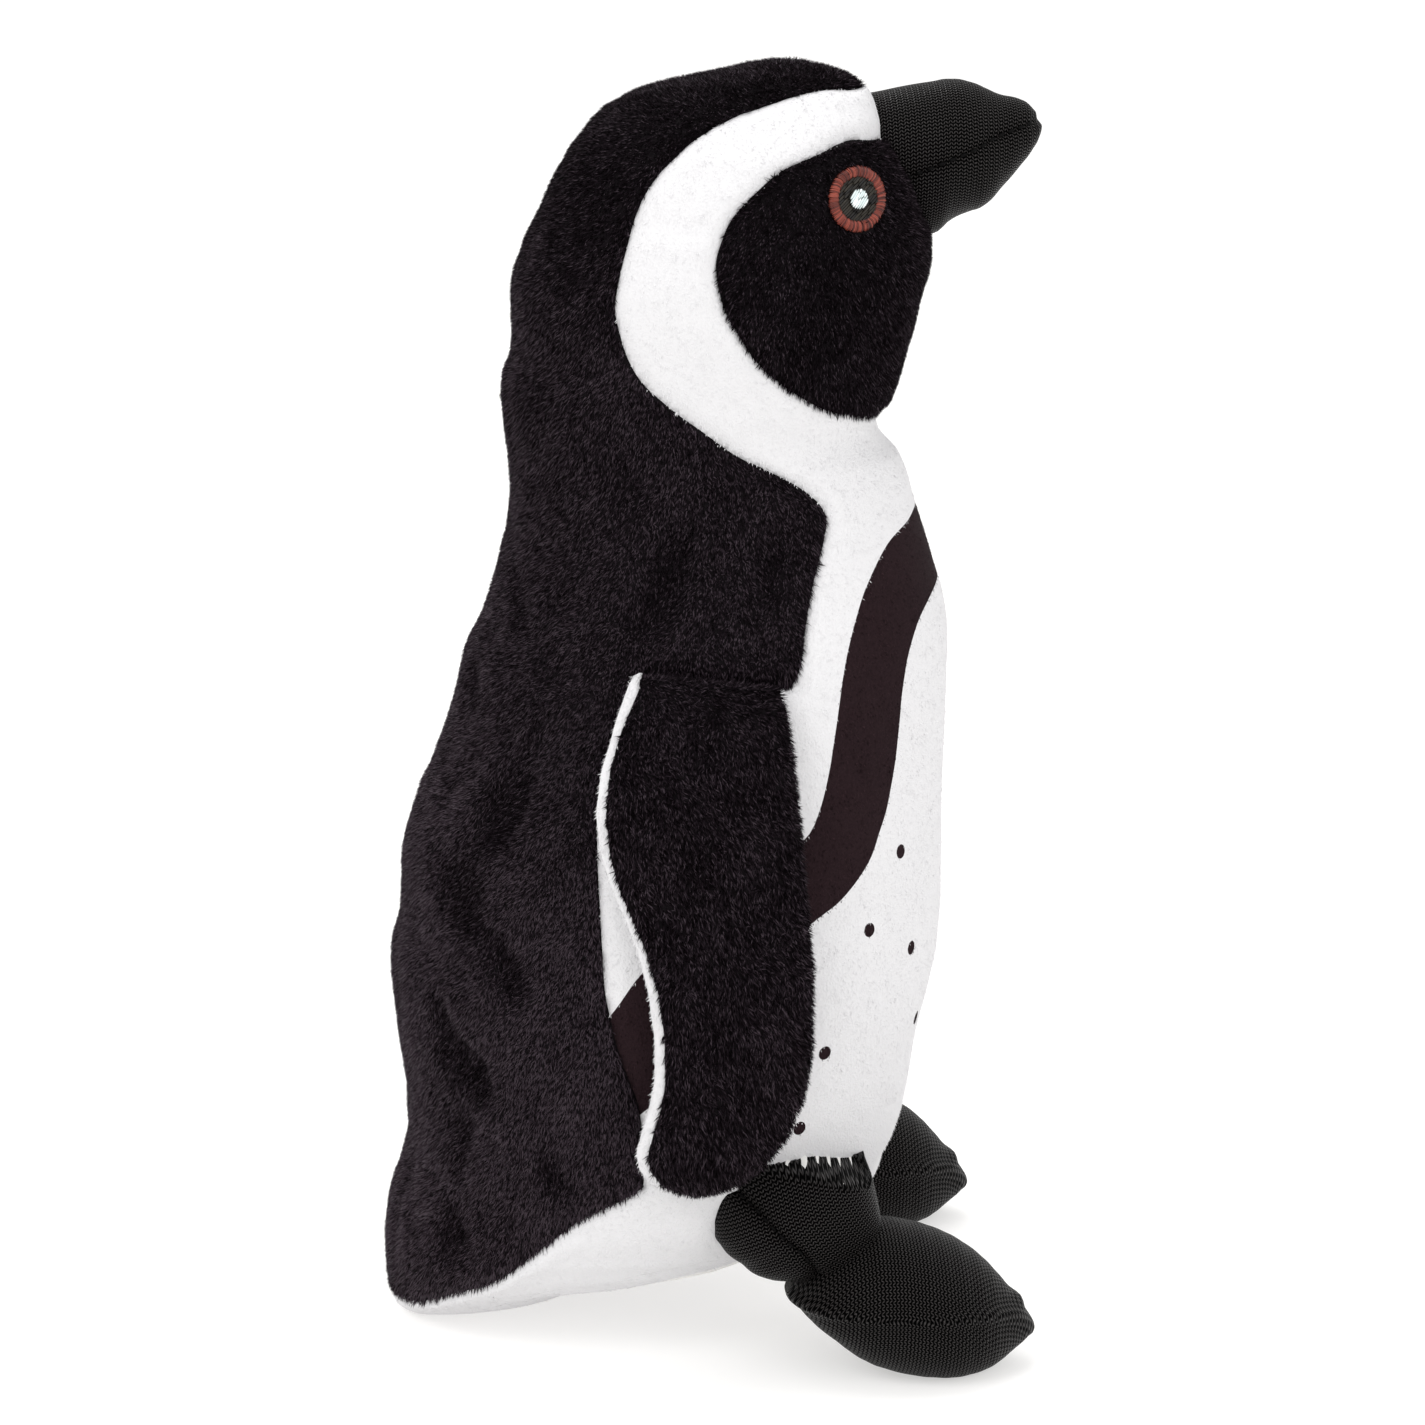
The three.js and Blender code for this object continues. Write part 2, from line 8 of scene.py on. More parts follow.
import bpy
import numpy as np
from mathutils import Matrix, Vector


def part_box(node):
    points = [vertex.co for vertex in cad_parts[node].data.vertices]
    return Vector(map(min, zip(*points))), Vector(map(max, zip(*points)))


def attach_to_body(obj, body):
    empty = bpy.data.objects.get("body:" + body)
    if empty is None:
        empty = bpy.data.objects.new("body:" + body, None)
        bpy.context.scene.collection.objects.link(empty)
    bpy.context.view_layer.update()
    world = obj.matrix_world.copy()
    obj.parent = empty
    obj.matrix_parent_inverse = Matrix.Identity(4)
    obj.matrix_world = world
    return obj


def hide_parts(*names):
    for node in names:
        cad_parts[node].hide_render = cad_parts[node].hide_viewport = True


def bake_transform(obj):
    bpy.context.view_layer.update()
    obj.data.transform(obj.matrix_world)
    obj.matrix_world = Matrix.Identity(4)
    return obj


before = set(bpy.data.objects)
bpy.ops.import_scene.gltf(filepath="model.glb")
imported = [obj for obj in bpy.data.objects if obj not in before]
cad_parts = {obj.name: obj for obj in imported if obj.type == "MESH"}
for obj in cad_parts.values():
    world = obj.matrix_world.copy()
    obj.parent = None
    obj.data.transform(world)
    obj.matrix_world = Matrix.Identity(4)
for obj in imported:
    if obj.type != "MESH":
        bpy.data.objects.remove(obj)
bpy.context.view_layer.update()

MM = 0.001
SEED = 20
SIDES = (("right", -1), ("left", 1))


def cad_box(node):
    """Lowest and highest corner of a CAD node, in millimetres."""
    low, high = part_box(node)
    return np.array(low) / MM, np.array(high) / MM


# ---------------------------------------------------------------- sizes from the frame
HEIGHT = cad_box("back_panel_right")[1][2]
BACK_REACH = 59.6  # the tail's reach behind the middle, in percent of the depth
DEPTH = cad_box("back_panel_right")[1][1] / BACK_REACH * 100
WIDTH = 104.0
EYE_LOW, EYE_HIGH = cad_box("eye_ring_right")
EYE_SPOT = (EYE_LOW + EYE_HIGH) / 2
FOOT_LOW, FOOT_HIGH = cad_box("foot_sole_right")
FOOT_X = (FOOT_LOW[0] + FOOT_HIGH[0]) / 2

BLACK_PILE = 1.0  # the pile's ground lies this far under the outline
WHITE_PILE = 0.7
CLOTH = 0.7  # thickness of a panel's ground

# ---------------------------------------------------------------- numeric helpers


def through(points):
    """A smooth function through (position, value) points."""
    xs = np.array([p[0] for p in points], float)
    ys = np.array([p[1] for p in points], float)
    before = np.maximum(np.arange(len(xs)) - 1, 0)
    after = np.minimum(np.arange(len(xs)) + 1, len(xs) - 1)
    slope = (ys[after] - ys[before]) / (xs[after] - xs[before])

    def value(at):
        at = np.asarray(at, float)
        i = np.clip(np.searchsorted(xs, at) - 1, 0, len(xs) - 2)
        span = xs[i + 1] - xs[i]
        t = np.clip((at - xs[i]) / span, 0, 1)
        ease = t * t * (3 - 2 * t)
        leaving = ys[i] + slope[i] * span * t
        arriving = ys[i + 1] - slope[i + 1] * span * (1 - t)
        return leaving * (1 - ease) + arriving * ease

    return value


def spline(points, steps=12):
    """A Catmull-Rom line through 2-D points, with some steps between each pair."""
    p = np.array(points, float)
    p = np.vstack([2 * p[0] - p[1], p, 2 * p[-1] - p[-2]])
    t = np.linspace(0, 1, steps, endpoint=False)[:, None]
    pieces = []
    for a, b, c, d in zip(p[:-3], p[1:-2], p[2:-1], p[3:]):
        pieces.append(0.5 * (2 * b + (c - a) * t + (2 * a - 5 * b + 4 * c - d) * t**2
                             + (3 * b - a - 3 * c + d) * t**3))
    return np.vstack(pieces + [p[-2:-1]])


def pattern_line(points, steps=12):
    """A smooth side-view line from points in percent of depth and of height."""
    return spline(np.array(points) * [DEPTH / 100, HEIGHT / 100], steps)


def inside(outline, yz):
    """Which side-view points lie inside a closed outline."""
    result = np.zeros(len(yz), bool)
    y, z = yz[:, 0], yz[:, 1]
    for (y0, z0), (y1, z1) in zip(outline, np.roll(outline, -1, axis=0)):
        if z0 == z1:
            continue
        crosses = (z0 > z) != (z1 > z)
        result ^= crosses & (y < (y1 - y0) * (z - z0) / (z1 - z0) + y0)
    return result


def distance(line, yz):
    """Distance of side-view points to an open line."""
    best = np.full(len(yz), 1e9)
    for a, b in zip(line[:-1], line[1:]):
        run = b - a
        t = np.clip(((yz - a) @ run) / max(run @ run, 1e-12), 0, 1)
        best = np.minimum(best, np.hypot(*(yz - a - t[:, None] * run).T))
    return best


def smoothstep(low, high, value):
    t = np.clip((value - low) / (high - low), 0, 1)
    return t * t * (3 - 2 * t)


def ripple(points, wavelength, seed, waves=14):
    """A smooth random field, about -1 to 1, that repeats nowhere near."""
    rng = np.random.default_rng(seed)
    heading = rng.normal(size=(waves, 3))
    heading /= np.linalg.norm(heading, axis=1)[:, None]
    heading *= rng.uniform(0.7, 1.5, (waves, 1)) * 2 * math.pi / wavelength
    phase = rng.uniform(0, 2 * math.pi, waves)
    return np.cos(points @ heading.T + phase).sum(1) / math.sqrt(waves)


def unit(vectors):
    return vectors / np.maximum(np.linalg.norm(vectors, axis=-1, keepdims=True), 1e-12)


# ---------------------------------------------------------------- mesh helpers


def loft(rings):
    """Points and triangles of a closed skin over an array of rings."""
    rows, cols, _ = rings.shape
    i, j = np.meshgrid(np.arange(rows - 1), np.arange(cols), indexing="ij")
    a, b = i * cols + j, i * cols + (j + 1) % cols
    c, d = a + cols, b + cols
    faces = [np.stack([a, b, d], -1).reshape(-1, 3), np.stack([a, d, c], -1).reshape(-1, 3)]
    points = rings.reshape(-1, 3)
    hubs = np.stack([rings[0].mean(0), rings[-1].mean(0)])
    ring = np.arange(cols)
    following = (ring + 1) % cols
    first, last = len(points), len(points) + 1
    top = (rows - 1) * cols
    faces.append(np.stack([np.full(cols, first), following, ring], -1))
    faces.append(np.stack([np.full(cols, last), ring + top, following + top], -1))
    return np.vstack([points, hubs]), np.vstack(faces)


def normals_of(points, faces):
    a, b, c = (points[faces[:, k]] for k in range(3))
    flat = np.cross(b - a, c - a)
    total = np.zeros_like(points)
    for k in range(3):
        np.add.at(total, faces[:, k], flat)
    return unit(total)


def cut(points, faces, labels, field, snap=0.06):
    """Splits triangles where the field is zero; labels gain a column that says where it is above."""
    s = np.where(np.abs(field) < snap, 0.0, field)
    above = s[faces] > 0
    count = above.sum(1)
    mixed = (count == 1) | (count == 2)
    odd = np.where(count == 1, above.argmax(1), (~above).argmax(1))[mixed]
    rows = faces[mixed]
    pick = np.arange(len(rows))
    a, b, c = (rows[pick, (odd + k) % 3] for k in range(3))

    def crossing(u, v):
        low, high = np.minimum(u, v), np.maximum(u, v)
        t = s[low] / np.where(s[low] == s[high], 1, s[low] - s[high])
        return points[low] + t[:, None] * (points[high] - points[low])

    base = len(points)
    p, q = base + pick, base + len(rows) + pick
    points = np.vstack([points, crossing(a, b), crossing(a, c)])
    lone = count[mixed] == 1
    old = labels[mixed]
    new_faces = np.vstack([faces[~mixed], np.stack([a, p, q], 1), np.stack([p, b, c], 1),
                           np.stack([p, c, q], 1)])
    side = np.concatenate([count[~mixed] == 3, lone, ~lone, ~lone])
    labels = np.vstack([labels[~mixed], old, old, old])
    return weld(points, new_faces, np.column_stack([labels, side]))


def refined(points, faces, labels, longest, near):
    """Splits edges that are longer than allowed where near(edge middles) says so."""
    for _ in range(4):
        sides = np.stack([faces, np.roll(faces, -1, axis=1)], -1)
        edges, place = np.unique(np.sort(sides, axis=-1).reshape(-1, 2), axis=0, return_inverse=True)
        place = place.reshape(-1, 3)
        ends = points[edges]
        middle = ends.mean(1)
        split = (np.linalg.norm(ends[:, 0] - ends[:, 1], axis=1) > longest) & near(middle)
        if not split.any():
            break
        fresh = np.where(split, len(points) + np.cumsum(split) - 1, -1)[place]
        points = np.vstack([points, middle[split]])
        marks = (fresh >= 0).sum(1)
        # turned so that a lone split edge comes first, and a lone whole edge comes last
        first = np.where(marks == 1, (fresh >= 0).argmax(1), ((fresh < 0).argmax(1) + 1) % 3)
        order = (first[:, None] + np.arange(3)) % 3
        a, b, c = np.take_along_axis(faces, order, 1).T
        p, q, r = np.take_along_axis(fresh, order, 1).T
        kept, one, two, three = (marks == k for k in range(4))
        groups = [(kept, (a, b, c)), (one, (a, p, c)), (one, (p, b, c)), (two, (p, b, q)),
                  (two, (a, p, q)), (two, (a, q, c)), (three, (a, p, r)), (three, (p, b, q)),
                  (three, (r, q, c)), (three, (p, q, r))]
        faces = np.vstack([np.stack(corner, 1)[chosen] for chosen, corner in groups])
        labels = np.vstack([labels[chosen] for chosen, _ in groups])
    return points, faces, labels


def weld(points, faces, labels):
    """Joins points that fall together, and drops the faces that this flattens."""
    _, first, place = np.unique(np.round(points, 4), axis=0, return_index=True, return_inverse=True)
    faces = place.reshape(-1)[faces]
    a, b, c = faces.T
    whole = (a != b) & (b != c) & (c != a)
    return points[first], faces[whole], labels[whole]


def part_of(points, faces, *extra):
    """Only the points that these faces use, with other per-point arrays cut alike."""
    used, place = np.unique(faces, return_inverse=True)
    return (points[used], place.reshape(-1, 3)) + tuple(e[used] for e in extra)


def thick(points, faces, normals, thickness=CLOTH):
    """A closed sheet: the faces, their copy further in, and a rim round the edge."""
    n = len(points)
    edges = np.vstack([faces[:, [0, 1]], faces[:, [1, 2]], faces[:, [2, 0]]])
    code = edges[:, 0] * n + edges[:, 1]
    back = edges[:, 1] * n + edges[:, 0]
    a, b = edges[~np.isin(code, back)].T
    rim = np.vstack([np.stack([b, a, a + n], 1), np.stack([b, a + n, b + n], 1)])
    return np.vstack([points, points - normals * thickness]), np.vstack([faces, faces[:, ::-1] + n, rim])


def make(name, points, faces, materials, index=None, smooth=True, uv=None):
    """A Blender object from points in millimetres and triangles."""
    mesh = bpy.data.meshes.new(name)
    mesh.vertices.add(len(points))
    mesh.vertices.foreach_set("co", (np.asarray(points) * MM).astype(np.float32).ravel())
    mesh.loops.add(len(faces) * 3)
    mesh.loops.foreach_set("vertex_index", faces.astype(np.int32).ravel())
    mesh.polygons.add(len(faces))
    mesh.polygons.foreach_set("loop_start", np.arange(len(faces), dtype=np.int32) * 3)
    if index is not None:
        mesh.polygons.foreach_set("material_index", np.asarray(index, np.int32))
    mesh.polygons.foreach_set("use_smooth", np.full(len(faces), smooth))
    for material in materials:
        mesh.materials.append(material)
    if uv is not None:
        layer = mesh.uv_layers.new(name="Knit")
        layer.data.foreach_set("uv", uv[faces].astype(np.float32).ravel())
    mesh.update()
    mesh.validate()
    piece = bpy.data.objects.new(name, mesh)
    bpy.context.scene.collection.objects.link(piece)
    return piece


def tubes(paths, radius, sides=6):
    """One mesh of round-ended tubes; paths is (tubes, steps, 3) and radius (steps,)."""
    paths = np.asarray(paths, float)
    count, steps, _ = paths.shape
    run = unit(np.gradient(paths, axis=1))
    aside = np.cross(run, np.array([0.31, 0.52, 0.79]))
    aside = unit(aside)
    up = np.cross(run, aside)
    turn = 2 * math.pi * np.arange(sides) / sides
    ring = (aside[:, :, None] * np.cos(turn)[:, None] + up[:, :, None] * np.sin(turn)[:, None])
    rings = paths[:, :, None] + ring * radius[None, :, None, None]
    tube_faces = loft(rings[0])[1]
    per_tube = steps * sides + 2
    hubs = np.stack([rings[:, 0].mean(1), rings[:, -1].mean(1)], 1)
    points = np.concatenate([rings.reshape(count, -1, 3), hubs], 1).reshape(-1, 3)
    faces = (tube_faces[None] + np.arange(count)[:, None, None] * per_tube).reshape(-1, 3)
    return points, faces


def attach(piece, body, blend=None):
    """Rides on one body; given a blend, it stays in place with its transform baked in."""
    if blend is None:
        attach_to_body(piece, body)
    else:
        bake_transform(piece)


# ---------------------------------------------------------------- materials


def shader(name, color, roughness, **sockets):
    """A Principled material with constant values."""
    material = bpy.data.materials.new(name)
    material.use_nodes = True
    node = material.node_tree.nodes["Principled BSDF"]
    node.inputs["Base Color"].default_value = (*color, 1)
    node.inputs["Roughness"].default_value = roughness
    for socket, value in sockets.items():
        node.inputs[socket.replace("_", " ")].default_value = value
    return material


def add_node(material, kind, **settings):
    node = material.node_tree.nodes.new(kind)
    for key, value in settings.items():
        if hasattr(node, key):
            setattr(node, key, value)
        else:
            node.inputs[key].default_value = value
    return node


def math_node(material, operation, first, second=None, third=None):
    node = add_node(material, "ShaderNodeMath", operation=operation)
    for socket, value in zip(node.inputs, (first, second, third)):
        if value is None:
            continue
        if isinstance(value, (int, float)):
            socket.default_value = value
        else:
            material.node_tree.links.new(value, socket)
    return node.outputs[0]


def tinted(material, factor, dark, light):
    """Base colour from a factor between two colours."""
    ramp = add_node(material, "ShaderNodeValToRGB")
    ramp.color_ramp.elements[0].color = (*dark, 1)
    ramp.color_ramp.elements[1].color = (*light, 1)
    material.node_tree.links.new(factor, ramp.inputs[0])
    shade = material.node_tree.nodes["Principled BSDF"]
    material.node_tree.links.new(ramp.outputs[0], shade.inputs["Base Color"])


def bumped(material, height, reach):
    node = add_node(material, "ShaderNodeBump", Distance=reach * MM, Strength=1.0)
    material.node_tree.links.new(height, node.inputs["Height"])
    shade = material.node_tree.nodes["Principled BSDF"]
    material.node_tree.links.new(node.outputs[0], shade.inputs["Normal"])


def ground(name, dark, light, grain=0.45):
    """The short dense ground of a pile fabric: a fine fleck with a slow drift of shade."""
    material = shader(name, light, 0.9, Specular_IOR_Level=0.08)
    where = add_node(material, "ShaderNodeTexCoord").outputs["Object"]
    fleck = add_node(material, "ShaderNodeTexNoise", Scale=1 / (grain * MM), Detail=3.0)
    drift = add_node(material, "ShaderNodeTexNoise", Scale=1 / (14 * MM), Detail=2.0)
    for noise in (fleck, drift):
        material.node_tree.links.new(where, noise.inputs["Vector"])
    mix = math_node(material, "MULTIPLY_ADD", drift.outputs["Fac"], 0.35, fleck.outputs["Fac"])
    factor = math_node(material, "SUBTRACT", mix, 0.2)
    tinted(material, factor, dark, light)
    bumped(material, fleck.outputs["Fac"], 0.25)
    return material


def knit(name, dark, light, column=1.08, row=0.72):
    """Warp-knit mesh: columns of slanting loops that zigzag, with a small hole between."""
    material = shader(name, light, 0.42, Specular_IOR_Level=0.09)
    uv = add_node(material, "ShaderNodeUVMap", uv_map="Knit").outputs[0]
    split = add_node(material, "ShaderNodeSeparateXYZ")
    material.node_tree.links.new(uv, split.inputs[0])
    along = math_node(material, "DIVIDE", split.outputs[0], column)
    around = math_node(material, "DIVIDE", split.outputs[1], row)
    zigzag = math_node(material, "PINGPONG", along, 0.5)
    slanted = math_node(material, "MULTIPLY_ADD", zigzag, 1.3, around)
    loops = math_node(material, "SINE", math_node(material, "MULTIPLY", slanted, 2 * math.pi))
    columns = math_node(material, "COSINE", math_node(material, "MULTIPLY", along, 4 * math.pi))
    height = math_node(material, "MULTIPLY_ADD", loops, 0.30,
                       math_node(material, "MULTIPLY_ADD", columns, -0.17, 0.5))
    # painted highlight and shade: the base colour is lighter on the loops' crowns, and it is near black in
    # the holes between them, which are partly dark openings and partly painted shade; the gloss follows the
    # crowns too
    crown_highlight = math_node(material, "SMOOTH_MIN", math_node(
        material, "MAXIMUM", math_node(material, "MULTIPLY_ADD", height, 3.0, -1.5), 0.0), 1.0, 0.1)
    tinted(material, crown_highlight, dark, light)
    shade = material.node_tree.nodes["Principled BSDF"]
    gloss = math_node(material, "MULTIPLY_ADD", crown_highlight, 0.30, 0.01)
    material.node_tree.links.new(gloss, shade.inputs["Specular IOR Level"])
    bumped(material, height, 0.36)
    return material


BLACK_SHADES = [
    shader(f"black_pile_{i}", color, 0.5, Specular_IOR_Level=gloss)
    for i, (color, gloss) in enumerate([
        ((0.0028, 0.0017, 0.0023), 0.02), ((0.0076, 0.0049, 0.0067), 0.03),
        ((0.0163, 0.0109, 0.0147), 0.06), ((0.0340, 0.0235, 0.0310), 0.12),
        ((0.0720, 0.0520, 0.0660), 0.25)])]
WHITE_SHADES = [
    shader(f"white_pile_{i}", color, 0.9, Specular_IOR_Level=0.1)
    for i, color in enumerate([(0.700, 0.693, 0.703), (0.710, 0.703, 0.713), (0.688, 0.681, 0.691)])]
PRINT_SHADES = [
    shader(f"printed_pile_{i}", color, 0.75, Specular_IOR_Level=0.05)
    for i, color in enumerate([(0.0065, 0.0028, 0.0036), (0.0145, 0.0068, 0.0084), (0.030, 0.0160, 0.0190)])]
black_ground = ground("black_ground", (0.0022, 0.0016, 0.0020), (0.0095, 0.0072, 0.0088))
white_ground = ground("white_ground", (0.665, 0.658, 0.668), (0.72, 0.713, 0.723))
print_ground = ground("print_ground", (0.008, 0.0036, 0.0046), (0.025, 0.0132, 0.0158))
# dark: the holes with painted shade between the loops; light: the painted highlight on the loops' crowns
knit_mesh = knit("knit_mesh", (0.0002, 0.0002, 0.0002), (0.0200, 0.0165, 0.0158))
seam_thread = shader("seam_thread", (0.0016, 0.0014, 0.0014), 0.5, Specular_IOR_Level=0.06)
fill_fibre = ground("fill_fibre", (0.72, 0.71, 0.68), (0.9, 0.89, 0.87), grain=1.2)
RUST_THREADS = [shader(f"rust_thread_{i}", color, 0.42, Specular_IOR_Level=0.35)
                for i, color in enumerate([(0.165, 0.028, 0.017), (0.105, 0.017, 0.010),
                                           (0.250, 0.048, 0.029), (0.060, 0.009, 0.006)])]
DARK_THREADS = [shader(f"dark_thread_{i}", color, 0.45, Specular_IOR_Level=0.3)
                for i, color in enumerate([(0.009, 0.007, 0.0045), (0.018, 0.014, 0.009),
                                           (0.004, 0.003, 0.0025)])]
WHITE_THREADS = [shader(f"white_thread_{i}", color, 0.4, Specular_IOR_Level=0.6)
                 for i, color in enumerate([(0.80, 0.86, 0.86), (0.62, 0.70, 0.70)])]

# ---------------------------------------------------------------- pile


def pile(name, points, faces, normals, body, shades, drawn=None, *, density, length,
         width, lean, flow=(0, 0.12, -1), seed=1, group=None, keep=None, longer=None, lighter=None,
         blend=None, wobble=0.35, ridge=1.1, smooth=True):
    """Tufts over the faces: closed three-sided cones that lie with the nap. drawn has the
    pattern's values at each point; keep, longer, lighter and group (which picks a group of shades)
    are functions of those values at the roots."""
    rng = np.random.default_rng(SEED + seed)
    a, b, c = (points[faces[:, k]] for k in range(3))
    area = np.linalg.norm(np.cross(b - a, c - a), axis=1) / 2
    count = int(area.sum() * density)
    chosen = rng.choice(len(faces), count, p=area / area.sum())
    u, v = rng.random((2, count))
    over = u + v > 1
    u[over], v[over] = 1 - u[over], 1 - v[over]
    share = np.stack([1 - u - v, u, v], 1)
    root = (points[faces[chosen]] * share[:, :, None]).sum(1)
    normal = unit((normals[faces[chosen]] * share[:, :, None]).sum(1))
    if drawn is not None:
        drawn = (drawn[faces[chosen]] * share[:, :, None]).sum(1)
    if keep is not None:
        kept = keep(drawn)
        root, normal, drawn = root[kept], normal[kept], drawn[kept]
    count = len(root)

    nap = np.tile(np.array(flow, float), (count, 1))
    for axis in range(3):
        nap[:, axis] += wobble * 0.55 * ripple(root, 9, SEED + seed * 7 + axis)
        nap[:, axis] += wobble * 0.55 * ripple(root, 2.6, SEED + seed * 7 + axis + 3)
    nap += rng.normal(size=(count, 3)) * 0.3
    nap = unit(nap - normal * (nap * normal).sum(1)[:, None])
    tilt = np.radians(lean + 6 * ripple(root, 4, SEED + seed + 40) + rng.normal(size=count) * 8)
    heading = unit(normal * np.cos(tilt)[:, None] + nap * np.sin(tilt)[:, None])
    reach = length * rng.uniform(0.72, 1.2, count)
    if longer is not None:
        reach *= longer(drawn)
    across = unit(np.cross(heading, normal))
    thickness = np.cross(across, heading)
    half = (width / 2 * rng.uniform(0.75, 1.25, count))[:, None]
    foot = root - normal * 0.25
    tip = root + heading * reach[:, None] + nap * (reach * 0.12)[:, None]
    verts = np.stack([foot + across * half, foot - across * half, foot + thickness * half * ridge, tip], 1)
    order = np.array([[0, 1, 3], [1, 2, 3], [2, 0, 3], [0, 2, 1]])
    tris = (order[None] + np.arange(count)[:, None, None] * 4).reshape(-1, 3)
    kinds = len(shades[0])
    mood = 0.5 + 0.05 * ripple(root, 12, SEED + 70) + rng.normal(size=count) * 0.32
    # lighter paints light and shade into the shade chosen for each tuft
    if lighter is not None:
        mood += lighter(drawn)
    shade = np.clip((mood * kinds).astype(int), 0, kinds - 1)
    if group is not None:
        shade += group(drawn) * kinds
    flat_shades = [s for group in shades for s in group]
    piece = make(name, verts.reshape(-1, 3), tris, flat_shades, np.repeat(shade, 4), smooth)
    attach(piece, body, blend)


# ---------------------------------------------------------------- body outline
back_line = through([
    (0, 55.5), (1, 58.6), (3, 59.3), (5, 59.5), (7.2, 59.2), (9.9, 58.0), (12.5, 56.0), (16.3, 55.0),
    (20.8, 55.9), (23.8, 56.8), (29.4, 57.7), (32.6, 56.1), (38.6, 55.1), (42.6, 52.5), (45.4, 49.5),
    (48.7, 46.6), (53, 44.5), (55.4, 41.9), (58.8, 39.3), (62.4, 37.1), (65.2, 36.0), (68.4, 36.0),
    (72.4, 36.9), (75.6, 36.9), (77.6, 35.4), (82, 35.3), (84.8, 33.9), (88.4, 30.3), (92.4, 26.0),
    (94.4, 22.9), (96, 19.8), (96.8, 17), (98.1, 10), (99.1, 0), (99.7, -6), (100, -10),
])
front_line = through([
    (0, 40.5), (0.6, 30.6), (1.4, 24.3), (2.4, 14.4), (3.2, 4.5), (4.2, -5.4), (6, -16.2), (8, -23.4),
    (10.6, -28.8), (13.2, -31.1), (14.8, -32.9), (18.4, -35.1), (23.2, -36.9), (28.4, -39.6),
    (31.6, -40.4), (36.4, -40.8), (46.4, -41.3), (52, -41.4), (54.4, -41.6), (57.6, -41.2),
    (60.4, -39.6), (63.2, -37.8), (65.8, -35.9), (69.4, -33.1), (70.7, -30.5), (72, -29.4),
    (73.6, -31.4), (77.5, -34.1), (81.9, -36.6), (85.5, -38.2), (88.5, -36.6), (92, -33.7),
    (95, -30.1), (97.5, -27.8), (98.6, -25.6), (99.5, -20), (100, -15),
])
width_line = through([
    (0, 23), (0.6, 34), (1.4, 43), (2.4, 54), (4.2, 69), (6, 78), (8, 84), (12.4, 91), (18, 96.5),
    (24, 99), (30, 100), (36, 98.5), (42, 94.5), (48, 89), (55, 81), (62.5, 71), (66, 67.5),
    (70.8, 65.4), (74, 66.5), (78, 69.5), (82, 71.2), (86, 70.2), (88.5, 67.3), (92.4, 60),
    (94.5, 53), (96.8, 42), (98, 33), (99.2, 20), (100, 8),
])
SQUARENESS = 2.2


def side_of_body(y, z):
    """How far the body reaches to one side at side-view points."""
    level = np.asarray(z) / HEIGHT * 100
    back, front = back_line(level) * DEPTH / 100, front_line(level) * DEPTH / 100
    out = np.clip(np.abs((2 * np.asarray(y) - back - front) / (back - front)), 0, 1)
    return width_line(level) * WIDTH / 200 * (1 - out**SQUARENESS) ** (1 / SQUARENESS)


def body_rings(pitch, facets):
    """Rings up the body, at most about one pitch apart anywhere."""
    levels = np.linspace(0, 100, 4001)
    edge = np.stack([back_line(levels) * DEPTH / 100, front_line(levels) * DEPTH / 100,
                     width_line(levels) * WIDTH / 200])
    climb = np.abs(np.diff(edge, axis=1)).max(0) + np.diff(levels) * HEIGHT / 100
    passed = np.concatenate([[0], np.cumsum(climb)])
    levels = np.interp(np.linspace(0, passed[-1], int(passed[-1] / pitch)), passed, levels)
    back, front = back_line(levels) * DEPTH / 100, front_line(levels) * DEPTH / 100
    turn = 2 * math.pi * np.arange(facets) / facets
    c, s = np.cos(turn), np.sin(turn)
    c[np.abs(c) < 1e-9] = 0
    across = np.sign(c) * np.abs(c) ** (2 / SQUARENESS)
    along = np.sign(s) * np.abs(s) ** (2 / SQUARENESS)
    x = (width_line(levels) * WIDTH / 200)[:, None] * across
    y = ((back + front) / 2)[:, None] + ((back - front) / 2)[:, None] * along
    z = np.repeat((levels * HEIGHT / 100)[:, None], facets, 1)
    return np.stack([x, y, z], -1)


# ---------------------------------------------------------------- seams and print of the body
hood_edge = pattern_line([
    (-40, 99.1), (-26.1, 98.4), (-17.6, 98.5), (-8.1, 97.7), (1.5, 96.2), (9.5, 93.7), (14.9, 90.7),
    (18.0, 86.7), (19.7, 83.2), (19.5, 81.5), (17.8, 78.8), (15, 76.8), (10, 74.8), (3.8, 72.8),
    (-1.3, 71.3), (-7.8, 69.9), (-14.3, 68.2), (-17.3, 66.6), (-17.1, 65), (-14.9, 62), (-13.2, 58.8),
    (-12.2, 56), (-10.6, 54),
])
shoulder_seam = pattern_line([(-10.6, 54), (2, 54.4), (15.9, 55.2)])
flank_edge = pattern_line([
    (15.9, 55.2), (21.6, 48.8), (23.8, 44), (23.6, 38), (23, 32), (22, 29.4), (20.2, 26), (17.6, 23),
    (16.6, 20.8), (16, 15.3),
])
hem_edge = pattern_line([
    (16, 15.3), (20.5, 14), (27, 12.4), (32.2, 10.4), (37.6, 8), (41.1, 6.4), (45, 5.2), (49.5, 4),
    (54, 2.6), (59.5, 1.4), (66, 1),
])
back_seam = np.vstack([hood_edge, shoulder_seam[1:], flank_edge[1:], hem_edge[1:]])
mask_edge = pattern_line([
    (-60, 94.4), (-40, 94.4), (-28.8, 94.5), (-22.2, 94.8), (-16.3, 94.1), (-9.8, 93), (-4.7, 91.4),
    (-0.2, 89.3), (2.2, 86.9), (2.4, 85), (1.1, 82.6), (-1.6, 80.4), (-4.6, 78.4), (-9.6, 76.4),
    (-15.3, 74.7), (-21.3, 73.5), (-28, 72.6), (-40, 72), (-60, 72),
])
under_edge = pattern_line([(66, 1), (46, 1.9), (20, 5.3), (-8, 7.6), (-28, 9.7), (-50, 10.5)])
FAR = 2 * HEIGHT


def outline(line, *corners):
    return np.vstack([line, np.array(corners, float)])


